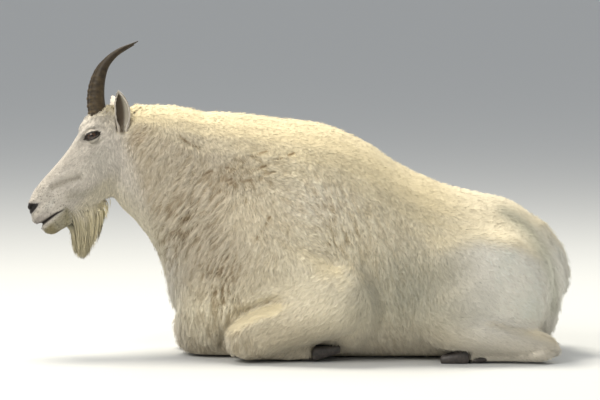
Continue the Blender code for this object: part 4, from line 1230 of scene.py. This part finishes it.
def beard(skin):
    """Fine wavy locks that hang from the cheeks and the lower jaw and gather into points."""
    rng = np.random.default_rng(SEED + 1)
    places, ways = face_roots(skin.data, rng)
    local = to_head(places)
    top, bottom = np.array(BEARD_TOP), np.array(BEARD_OUTLINE)
    under = np.interp(places[:, 0], top[:, 0], top[:, 1]) - places[:, 2]
    room = places[:, 2] - np.interp(places[:, 0], bottom[:, 0], bottom[:, 1])
    grows = (local[:, 0] > 0.130) & (local[:, 0] < 0.296) & (local[:, 2] < -0.040) & (places[:, 0] < -0.480)
    grows &= (under > 0) & (room > 0.006) & clear_of_features(local, is_near_head(places))
    chin_bare = (local[:, 0] > 0.268) & (np.abs(local[:, 1]) > 0.012)
    density = smooth_step(0.0, 0.030, under) * (0.35 + 0.65 * smooth_step(-0.06, -0.085, local[:, 2]))
    chance = np.where(grows & ~chin_bare, density, 0.0)
    chosen = rng.choice(len(places), BEARD_STRANDS, p=chance / chance.sum())
    roots, normals, room = places[chosen], ways[chosen], room[chosen]
    count = len(roots)
    centres = roots[rng.choice(count, BEARD_LOCKS, replace=False)]
    index, near, _ = nearest_centres(roots, centres)
    lock = rng.uniform(-1, 1, (BEARD_LOCKS, 4))[index]
    full = 0.80 + 0.20 * lock[:, 0] + rng.normal(0, 0.12, count)
    rear = smooth_step(-0.545, -0.500, roots[:, 0])
    wispy = rear * (lock[:, 3] > 0.35)
    full = np.clip(full - 0.16 * rear + 0.26 * wispy, 0.30, 1.06)
    middle_y = from_head(local[chosen] * (1, 0, 1))[:, 1]
    tip_x = np.interp(roots[:, 0], BEARD_FROM_X, BEARD_TO_X) + 0.007 * lock[:, 1]
    tip_x = tip_x + rng.normal(0, 0.003, count) + 0.010 * wispy
    to_edge = np.interp(tip_x - 0.016 * wispy, bottom[:, 0], bottom[:, 1])
    tip_z = roots[:, 2] + (to_edge - roots[:, 2]) * full
    tip_y = middle_y + (roots[:, 1] - middle_y) * rng.uniform(0.10, 0.70, count) + 0.005 * lock[:, 2]
    tips = np.stack([tip_x, tip_y, tip_z], axis=1)
    tips += (centres[index] - roots) * np.array((0.40, 0.40, 0.0))
    length = np.linalg.norm(tips - roots, axis=1)[:, None]
    down = np.array((0.0, 0.0, -1.0))
    flow = unit(down - normals * (normals @ down)[:, None] + 0.20 * normals + np.array((0.95, 0.0, 0.0)))
    first = roots + flow * 0.30 * length + normals * 0.004
    second = tips - unit(0.25 * flow + down) * 0.30 * length
    phase = 2 * math.pi * lock[:, 3] + 0.5 * rng.normal(0, 1, count)
    lines = []
    for ring in range(BEARD_RINGS + 1):
        t = ring / BEARD_RINGS
        a, b, c, d = (1 - t) ** 3, 3 * t * (1 - t) ** 2, 3 * t * t * (1 - t), t**3
        wave = np.sin(phase + 6.0 * t)[:, None] * np.array((0.0036, 0.0030, 0.0)) * t
        lines.append(a * (roots - 0.002 * normals) + b * first + c * second + d * tips + wave)
    lines = np.stack(lines, axis=1)
    along = unit(lines[:, -1] - lines[:, 0])
    outward = roots - np.stack([np.full(count, BEARD_MIDDLE_X), middle_y, roots[:, 2]], axis=1)
    outward = unit(outward * (0.35, 1.0, 0.0) + rng.normal(0, 0.004, (count, 3)))
    outward = unit(flattened(outward, along))
    across = unit(np.cross(outward, along))
    halves = rng.uniform(0.0007, 0.0013, count)[:, None] * np.array((0.9, 1.0, 0.9, 0.75, 0.5))
    tones = np.array((0.49, 0.435, 0.285)) * (1 + 0.10 * rng.normal(0, 1, (count, 1)))
    # Painted shade: strands far from the middle of their lock are a little darker, as in the shade between
    # locks.
    tones = tones * (1 + 0.05 * lock[:, 1:2] - 0.06 * smooth_step(0.3, 1.0, near / 0.008)[:, None])
    # Painted light: the rear locks, the wispy ones and those behind on the far side are made lighter for the
    # light that they catch at the beard's rear edge; the locks at the front of the chin are darker.
    far_side = smooth_step(-0.006, 0.004, roots[:, 1:2] - middle_y[:, None])
    painted_light = 0.30 * wispy[:, None] + 0.55 * rear[:, None] * far_side
    tones = tones * (1 + 0.20 * rear[:, None] + painted_light - 0.22 * (1 - smooth_step(-0.580, -0.560, roots[:, :1])))
    face_tones = face_marks(roots, markings(roots, normals))
    shades = np.linspace(0, 1, BEARD_RINGS + 1)[None, :, None]
    blend_in = smooth_step(0.0, 0.45, shades)
    colours = face_tones[:, None] * (1 - blend_in) + tones[:, None] * blend_in
    coat = Coat(BEARD_RINGS)
    # Painted shade: each strand a little darker at its root than at its tip.
    coat.add(lines, across, outward, halves, colours * (0.92 + 0.12 * shades), 0.20)
    return coat


# Longer tufts on the head: middle and radii in the head's frame, how many, their length, the way that
# they point in the world, and how light they are at the root and at the tip, the roots darker as painted shade
# within the hair.
HEAD_TUFTS = (
    ((0.072, 0.000, 0.040), (0.020, 0.034, 0.024), 500, 0.018, (0.35, 0.0, 1.0), (0.90, 1.05)),
    ((0.028, 0.030, 0.018), (0.034, 0.046, 0.034), 1300, 0.026, (0.40, 0.0, 1.0), (0.50, 0.95)),
    ((0.028, -0.030, 0.018), (0.034, 0.046, 0.034), 1300, 0.026, (0.40, 0.0, 1.0), (0.50, 0.95)),
    ((-0.004, 0.000, 0.024), (0.024, 0.034, 0.022), 700, 0.034, (0.35, 0.0, 1.0), (0.85, 1.15)),
    ((-0.030, 0.020, -0.005), (0.040, 0.060, 0.034), 900, 0.018, (0.90, 0.0, 0.45), (0.92, 1.08)),
)


def head_tufts(coat, skin, rng):
    """The shaggy hair before, between and behind the horns, round the ears and on the nape."""
    places, ways = face_roots(skin.data, rng)
    near = places[:, 0] < -0.30
    places, ways = places[near], ways[near]
    local = to_head(places)
    for centre, radii, count, length, pointing, (root_shade, tip_shade) in HEAD_TUFTS:
        weight = bump_at(local, centre, radii) * ~(before_ear(local, 1, 0.050) | before_ear(local, -1, 0.050))
        chosen = rng.choice(len(places), count, p=weight / weight.sum())
        roots, normals = places[chosen], ways[chosen]
        centres = roots[rng.choice(count, max(count // 14, 8), replace=False)]
        index, _, _ = nearest_centres(roots, centres)
        lock = rng.uniform(-1, 1, (len(centres), 3))[index]
        heading = unit(np.array(pointing) + 0.35 * lock + 0.12 * rng.normal(0, 1, (count, 3)) + 0.35 * normals)
        size = (length * rng.uniform(0.55, 1.05, count) * (0.45 + 0.55 * weight[chosen]))[:, None]
        pull = (centres[index] - roots) * 0.7
        side = unit(np.cross(normals, heading))
        up = unit(np.cross(heading, side))
        bend = side * (0.25 * lock[:, :1] * size)
        start = roots - normals * 0.002
        middle = roots + heading * 0.5 * size + 0.4 * pull - bend
        tip = roots + heading * size + pull
        tones = face_marks(roots, markings(roots, normals)) * (1 + 0.05 * rng.normal(0, 1, (count, 1)))
        shades = (root_shade, 0.5 * (root_shade + tip_shade), tip_shade)
        colours = np.stack([shade * tones for shade in shades], axis=1)
        halves = (0.0020 * rng.uniform(0.7, 1.1, count))[:, None] * np.array((0.5, 0.45))
        coat.add(np.stack([start, middle, tip], axis=1), side, up, halves, colours, 0.70)


def ear_point(side, t, turn, inside):
    """A point of the ear: t from its foot to its tip, and turn round its back from edge to edge."""
    root, way, facing, across = ear_axes(side)
    reach = -EAR_SUNK + (EAR_LENGTH + EAR_SUNK) * t
    up = np.clip(reach / EAR_LENGTH, 0.0, 1.0)
    leaf = (0.55 + 1.55 * up) * (1 - up**1.75) ** 0.90
    width = np.maximum(EAR_HALF_WIDTH * np.minimum(leaf, 1.02), 0.0009)
    share = np.maximum(width / EAR_HALF_WIDTH, 0.02)
    cup = EAR_CUP * share**0.8
    open_up = np.clip((up - 0.06) / 0.22, 0, 1)
    wall = EAR_WALL * np.minimum(1.0, 2.5 * share) + (1.4 * cup - EAR_WALL) * (1 - open_up)
    wall = np.minimum(wall, 0.8 * cup + 0.0005) * inside
    curl = 1 + 0.10 * np.cos(turn) ** 8
    middle = root + way * reach[..., None] - facing * (0.022 * up * (1 - up))[..., None]
    middle = middle + across * (0.004 * np.sin(math.pi * up))[..., None]
    return (
        middle
        + across * (np.cos(turn) * (width - 0.6 * wall) * curl)[..., None]
        - facing * (np.sin(turn) * (cup - wall))[..., None]
    )


def make_ear(side, label, material):
    """The leaf of an ear, rolled to a cup, with its back and its inside as one closed skin."""
    steps, around = 30, 20
    t = np.linspace(0, 1, steps) ** 0.9
    turns = np.linspace(0, math.pi, around)
    rings = []
    for step in t:
        outer = ear_point(side, np.full(around, step), turns, 0.0)
        inner = ear_point(side, np.full(around, step), turns, 1.0)[::-1]
        rings.append(np.vstack([outer, inner]))
    mesh = closed_mesh(label, from_head(np.concatenate(rings)), tube_faces(steps, 2 * around))
    inside = np.tile(np.array([0.0] * around + [1.0] * around), steps)
    turns = np.tile(np.concatenate([turns] * 2), steps)
    dark = inside * (1 - smooth_step(0.93, 1.0, np.abs(np.cos(turns))))
    dark = dark * (1 - smooth_step(0.90, 0.99, np.repeat(t, 2 * around)))
    pale, brown = np.array((0.56, 0.49, 0.40)), np.array((0.075, 0.055, 0.036))
    hairy = np.cos(np.tile(np.concatenate([turns[:around], np.linspace(math.pi, 0, around)]), steps))
    brown = brown + (np.array((0.34, 0.31, 0.25)) - brown) * smooth_step(-0.05, 0.60, hairy)[:, None]
    colour_layer(mesh, pale + (brown - pale) * dark[:, None])
    return smooth_piece(label, mesh, material, ["ear_" + side_name(side)])


def ear_hair(side, rng):
    """Short hair on the back of an ear, a pale fringe on its edges and long hairs out of its cup."""
    back = 1500
    t, turn = rng.uniform(0.10, 0.97, back), rng.uniform(0.0, math.pi, back)
    roots, ways, normals = ear_frame(side, t, turn, 0.0)
    sizes = [(roots, ways, normals, 0.0085, 0.0017, (0.80, 0.74, 0.64), 0.22)]
    fringe = 520
    t = rng.uniform(0.12, 0.99, fringe)
    turn = np.where(rng.uniform(size=fringe) < 0.5, 0.0, math.pi) + rng.normal(0, 0.05, fringe)
    turn = np.clip(turn, 0.0, math.pi)
    roots, ways, normals = ear_frame(side, t, turn, 0.5)
    _, _, facing, across = ear_axes(side)
    inward = unit(turned_from_head(facing)[None] * 0.8 - turned_from_head(across)[None] * np.cos(turn)[:, None])
    sizes.append((roots, unit(ways + 0.25 * inward), inward, 0.0080, 0.0013, (0.70, 0.64, 0.55), 0.12))
    inner = 40
    t, turn = rng.uniform(0.08, 0.22, inner), rng.uniform(0.3, math.pi - 0.3, inner)
    roots, ways, normals = ear_frame(side, t, turn, 1.0)
    out = turned_from_head(facing)[None] + 0 * roots
    sizes.append((roots, unit(ways + 0.20 * out), out, 0.009, 0.0009, (0.20, 0.165, 0.12), 0.15))
    return sizes


def ear_frame(side, t, turn, inside):
    """Roots on an ear with the way to its tip and the way out of its surface, in the world."""
    here = ear_point(side, t, turn, inside)
    further = ear_point(side, np.minimum(t + 0.02, 1.0), turn, inside)
    round_it = ear_point(side, t, np.minimum(turn + 0.05, math.pi + 0.05), inside)
    ways = unit(further - here)
    normals = unit(np.cross(ways, round_it - here)) * side
    if inside < 0.5:
        flip = np.sign(np.sum(normals * -ear_axes(side)[2], axis=1, keepdims=True) + 1e-9)
        normals = normals * np.where(np.sin(turn)[:, None] > 0.3, flip, 1.0)
    return from_head(here), unit(turned_from_head(ways)), unit(turned_from_head(normals))


def short_tufts(coat, roots, ways, normals, length, width, tone, lift, rng):
    """Adds tufts of one kind to a coat of two rings."""
    count = len(roots)
    ways = unit(ways - normals * np.sum(ways * normals, axis=1, keepdims=True) * 0.5)
    size = (length * rng.uniform(0.7, 1.15, count))[:, None]
    side = unit(np.cross(normals, ways))
    curl = rng.uniform(-0.15, 0.15, count)[:, None]
    start = roots - normals * 0.06 * size
    middle = roots + ways * 0.45 * size + normals * lift * size + side * 0.4 * curl * size
    tip = roots + ways * 0.96 * size + normals * lift * 1.1 * size + side * curl * size
    lines = np.stack([start, middle, tip], axis=1)
    halves = (width * rng.uniform(0.8, 1.2, count))[:, None] * np.array((0.42, 0.5))
    tones = np.array(tone) * (1 + 0.06 * rng.normal(0, 1, (count, 1)))
    # Painted shade: each tuft darker at its root than at its tip.
    shades = np.array((0.78, 0.95, 1.0))[None, :, None]
    coat.add(lines, side, normals, halves, tones[:, None] * shades, 0.6)


# Horns in the head's frame, as in the solids: rows of x, y, z, radius.
HORN = (
    (0.060, 0.030, 0.025, 0.0200),
    (0.044, 0.032, 0.048, 0.0202),
    (0.016, 0.037, 0.081, 0.0192),
    (-0.017, 0.042, 0.1065, 0.0162),
    (-0.057, 0.048, 0.1225, 0.0115),
    (-0.103, 0.053, 0.1205, 0.0068),
    (-0.153, 0.056, 0.104, 0.0010),
)
HORN_ACROSS, HORN_STEPS, HORN_SIDES = 0.82, 190, 40
ANNULI, ANNULUS_DEPTH, ANNULI_END = 10, 0.040, 0.66


def through(rows, count):
    """Rows read at count even steps from the smooth curve that passes through the given rows."""
    rows = np.asarray(rows, float)
    padded = np.vstack([2 * rows[0] - rows[1], rows, 2 * rows[-1] - rows[-2]])
    found = []
    for step in np.linspace(0, len(rows) - 1, count):
        i = min(int(step), len(rows) - 2)
        t = step - i
        a, b, c, d = padded[i : i + 4]
        found.append(
            b
            + 0.5 * t * (c - a)
            + t * t * (a - 2.5 * b + 2 * c - 0.5 * d)
            + t**3 * (1.5 * (b - c) + 0.5 * (d - a))
        )
    return np.array(found)


def make_horn(side, label, material):
    """A horn with rings of growth that are strongest low down and in front."""
    rows = through(HORN, HORN_STEPS)
    centres = rows[:, :3] * (1, side, 1)
    rng = np.random.default_rng(SEED + 20 + side)
    ring_places = (np.arange(ANNULI) + rng.uniform(-0.15, 0.15, ANNULI)) / ANNULI * ANNULI_END
    points, tones = [], []
    for i, centre in enumerate(centres):
        t = i / (HORN_STEPS - 1)
        way = unit(centres[min(i + 1, HORN_STEPS - 1)] - centres[max(i - 1, 0)])
        across = unit(np.array((0.0, 1.0, 0.0)) - way * way[1])
        front = np.cross(across, way)
        fade = max(0.0, 1 - t / ANNULI_END) ** 0.6
        nearest = np.min(np.abs(t - ring_places))
        swell = math.exp(-((nearest / 0.011) ** 2)) * fade
        groove = math.exp(-(((nearest - 0.020) / 0.008) ** 2)) * fade
        for s in range(HORN_SIDES):
            a = 2 * math.pi * s / HORN_SIDES
            forward = 0.55 + 0.45 * math.cos(a)
            radius = rows[i, 3] * (1 + ANNULUS_DEPTH * (2.2 * swell - 1.2 * groove) * forward**2.5)
            radius *= 1 + 0.006 * math.sin(9 * a + 25 * t)
            points.append(centre + radius * (math.cos(a) * front + HORN_ACROSS * math.sin(a) * across))
            # Low down the horn is paler, and most on its sides, which carry painted light; at the front the
            # grooves of the rings carry painted shade and their swells a painted highlight.
            low = 1 - smooth_step(0.0, 0.75, t)
            shade = 0.72 - 0.45 * groove * forward + 0.80 * low * (0.3 + 0.7 * abs(math.sin(a)))
            tones.append(shade + 1.4 * swell * forward**6)
    mesh = closed_mesh(label, from_head(np.array(points)), tube_faces(HORN_STEPS, HORN_SIDES))
    colour_layer(mesh, np.repeat(np.array(tones)[:, None], 3, axis=1))
    return smooth_piece(label, mesh, material, ["horn_" + side_name(side)])


# Eyes


def eye_material():
    """A dark brown iris with a level slot for a pupil, under a wet clear surface."""
    made = Nodes("eye", Roughness=0.12, Specular_IOR_Level=0.30, Coat_Weight=0.35, Coat_Roughness=0.03)
    where = made.add("TexCoord").outputs["Object"]
    split = made.add("SeparateXYZ")
    made.link(where, split.inputs["Vector"])

    maths = made.maths
    x, y = split.outputs["X"], split.outputs["Y"]
    radius = maths("SQRT", maths("ADD", maths("MULTIPLY", x, x), maths("MULTIPLY", y, y)))
    halves = ((x, 0.0066), (y, 0.0026))
    slot = maths("ADD", *(maths("POWER", maths("ABSOLUTE", maths("DIVIDE", *half)), 3.0) for half in halves))
    pupil = made.ramp(slot, (0.80, grey(1.0)), (1.0, grey(0.0)))
    stops = (0.0, (0.060, 0.026, 0.010)), (0.62, (0.050, 0.022, 0.009)), (0.80, (0.012, 0.008, 0.006))
    iris = made.ramp(maths("DIVIDE", radius, 0.0150), *stops, (1.0, (0.020, 0.015, 0.012)))
    streaks = made.ramp(made.noise(900.0, 2.0, where), (0.3, grey(0.7)), (0.7, grey(1.25)))
    base = made.mix(iris, streaks, 1.0, "MULTIPLY")
    made.colour(made.mix(base, (0.004, 0.003, 0.003), pupil))
    return made.material


def make_eye(side, label, material):
    """An eyeball with a raised clear front, set in its socket."""
    centre, way, along, _ = axes_on_face(EYE_CENTRE, EYE_WAY, LID_TILT, side)
    shape = bmesh.new()
    bmesh.ops.create_uvsphere(shape, u_segments=48, v_segments=32, radius=EYE_RADIUS)
    for vertex in shape.verts:
        out = vertex.co.z / EYE_RADIUS
        vertex.co *= 1 + 0.035 * float(smooth_step(0.72, 0.98, out))
    made = smooth_piece(label, mesh_of(label, shape), material, ["eye_" + side_name(side)])
    axes = Matrix((along, np.cross(way, along), way)).transposed().to_4x4()
    made.matrix_world = HEAD @ Matrix.Translation(centre) @ axes


def rim_material():
    made = Nodes("lid_rim", Roughness=0.42)
    fine = made.noise(500.0, 3.0)
    made.colour(made.ramp(fine, (0.3, (0.012, 0.009, 0.007)), (0.75, (0.050, 0.038, 0.030))))
    made.bump(fine, 0.3, 0.0006)
    return made.material


def make_lid_rim(side, label, material):
    """The bare dark edge of the lids: an almond ring that lies on the eyeball."""
    centre, way, along, up = axes_on_face(EYE_CENTRE, EYE_WAY, LID_TILT, side)
    steps, around = 56, 10
    points = []
    for i in range(steps):
        turn = 2 * math.pi * i / steps
        pinch = abs(math.sin(turn)) ** 1.45 * math.copysign(1, math.sin(turn))
        high = 0.95 if pinch > 0 else 0.72
        a, b = math.cos(turn) * LID_HALF_LENGTH, pinch * LID_HALF_HEIGHT * high
        a += 0.0022 * max(0.0, math.cos(turn)) ** 6
        reach = math.hypot(a, b)
        out = math.sqrt(max((EYE_RADIUS + 0.0004) ** 2 - reach**2, 0.0))
        surface = centre + along * a + up * b + way * out
        radial = unit(along * a + up * b)
        normal = unit(surface - centre)
        thick = 0.0021 + 0.0006 * (pinch > 0)
        for s in range(around):
            w = 2 * math.pi * s / around
            out, over = 0.0003 + 0.75 * thick * math.sin(w), 0.0009 + thick * math.cos(w)
            points.append(surface + radial * over + normal * out)
    mesh = closed_mesh(label, from_head(np.array(points)), tube_faces(steps, around, closed=True))
    smooth_piece(label, mesh, material)


# Hooves


def hoof_material():
    made = Nodes("hoof", Roughness=0.5)
    streaks = made.noise(120.0, 4.0)
    made.colour(made.ramp(streaks, (0.3, (0.022, 0.019, 0.017)), (0.75, (0.085, 0.070, 0.058))))
    made.bump(made.noise(420.0, 3.0), 0.3, 0.0008)
    return made.material


def finer_hooves(material):
    """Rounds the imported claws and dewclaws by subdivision, each in its own place."""
    for name in sorted(NODES):
        if not name.startswith(("hoof", "dewclaw")):
            continue
        made = object_of(name + "_fine", NODES[name].data.copy())
        made.data.materials.clear()
        made.data.materials.append(material)
        weld = made.modifiers.new("Weld", "WELD")
        weld.merge_threshold = 0.00005
        smooth = made.modifiers.new("Subdivide", "SUBSURF")
        smooth.levels = smooth.render_levels = 2
        applied(made)
        made.data.shade_smooth()
        piece_done(made, [name])


# Stage


def make_stage():
    shape = bmesh.new()
    bmesh.ops.create_grid(shape, x_segments=1, y_segments=1, size=30.0)
    mesh = mesh_of("floor", shape)
    floor = Nodes("floor", Roughness=0.9)
    floor.shader.inputs["Base Color"].default_value = (0.62, 0.63, 0.62, 1.0)
    mesh.materials.append(floor.material)
    object_of("floor", mesh)


def make_light(name, place, target, size, power, colour):
    light = bpy.data.lights.new(name, "AREA")
    light.shape, light.size, light.energy, light.color = "DISK", size, power, colour
    made = object_of(name, light)
    made.location = place
    made.rotation_euler = (Vector(target) - Vector(place)).to_track_quat("-Z", "Y").to_euler()


def make_camera():
    camera = bpy.data.cameras.new("camera")
    camera.sensor_width = 36.0
    camera.lens = camera.sensor_width * CAMERA_DISTANCE / (PHOTO_WIDTH * METRES_PER_PIXEL)
    camera.clip_end = 200.0
    made = object_of("camera", camera)
    lift = math.radians(CAMERA_HEIGHT_ANGLE)
    made.location = CAMERA_TARGET + CAMERA_DISTANCE * Vector((0, -math.cos(lift), math.sin(lift)))
    made.rotation_euler = (math.radians(90 - CAMERA_HEIGHT_ANGLE), 0, 0)
    bpy.context.scene.camera = made


def light_studio():
    world = bpy.data.worlds.new("studio")
    world.use_nodes = True
    background = world.node_tree.nodes["Background"]
    background.inputs["Color"].default_value = (0.74, 0.76, 0.79, 1.0)
    background.inputs["Strength"].default_value = 0.66
    bpy.context.scene.world = world
    make_light("key", (-1.2, 0.6, 4.4), (0, 0, 0.3), 1.8, 215, (1.0, 0.94, 0.82))
    make_light("rim", (2.8, 1.7, 2.4), (0.2, 0, 0.3), 1.2, 42, (1.0, 0.96, 0.86))
    make_light("front", (-3.0, -3.6, 3.4), (0, 0, 0.3), 2.6, 185, (1.0, 0.96, 0.90))
    bpy.context.scene.view_settings.view_transform = "Standard"


# The whole goat

make_camera()
make_stage()
light_studio()

skin = make_skin()
skin_points, skin_normals = vertex_array(skin.data), vertex_array(skin.data, "normal")
skin_tones = face_marks(skin_points, markings(skin_points, skin_normals))
covered = 1 - face_share(to_head(skin_points)) * is_near_head(skin_points)
skin_creases, _ = fleece(skin_points, crease_zone(skin_points, skin_normals))
# Painted shade on the skin that shows between the tufts: darker where the coat covers it, and in the creases
# and partings.
skin_tones = in_crease(skin_tones * (1 - 0.16 * covered)[:, None], skin_creases, 1.0)
colour_layer(skin.data, skin_tones)
skin.data.materials.clear()
skin.data.materials.append(skin_material("skin"))
piece_done(skin, FLESH)

coat_hair = hair_material()
random_numbers = np.random.default_rng(SEED)
short_coat, long_coat = wool(skin, random_numbers)
head_tufts(long_coat, skin, random_numbers)
ear_skin = skin_material("ear_skin")
for ear_side, ear_label in ((1, "ear_skin_left"), (-1, "ear_skin_right")):
    make_ear(ear_side, ear_label, ear_skin)
    for tufts in ear_hair(ear_side, random_numbers):
        tuft_roots, tuft_ways, tuft_normals, *rest = tufts
        short_tufts(long_coat, tuft_roots, tuft_ways, tuft_normals, *rest, random_numbers)
short_coat.pieces("coat", coat_hair)
long_coat.pieces("coat_long", coat_hair)
beard(skin).pieces("beard", coat_hair)

horn_finish, eye_finish, rim_finish = horn_material(), eye_material(), rim_material()
for each_side, each_label in ((1, "left"), (-1, "right")):
    make_horn(each_side, f"horn_fine_{each_label}", horn_finish)
    make_eye(each_side, f"eyeball_{each_label}", eye_finish)
    make_lid_rim(each_side, f"lid_rim_{each_label}", rim_finish)
finer_hooves(hoof_material())
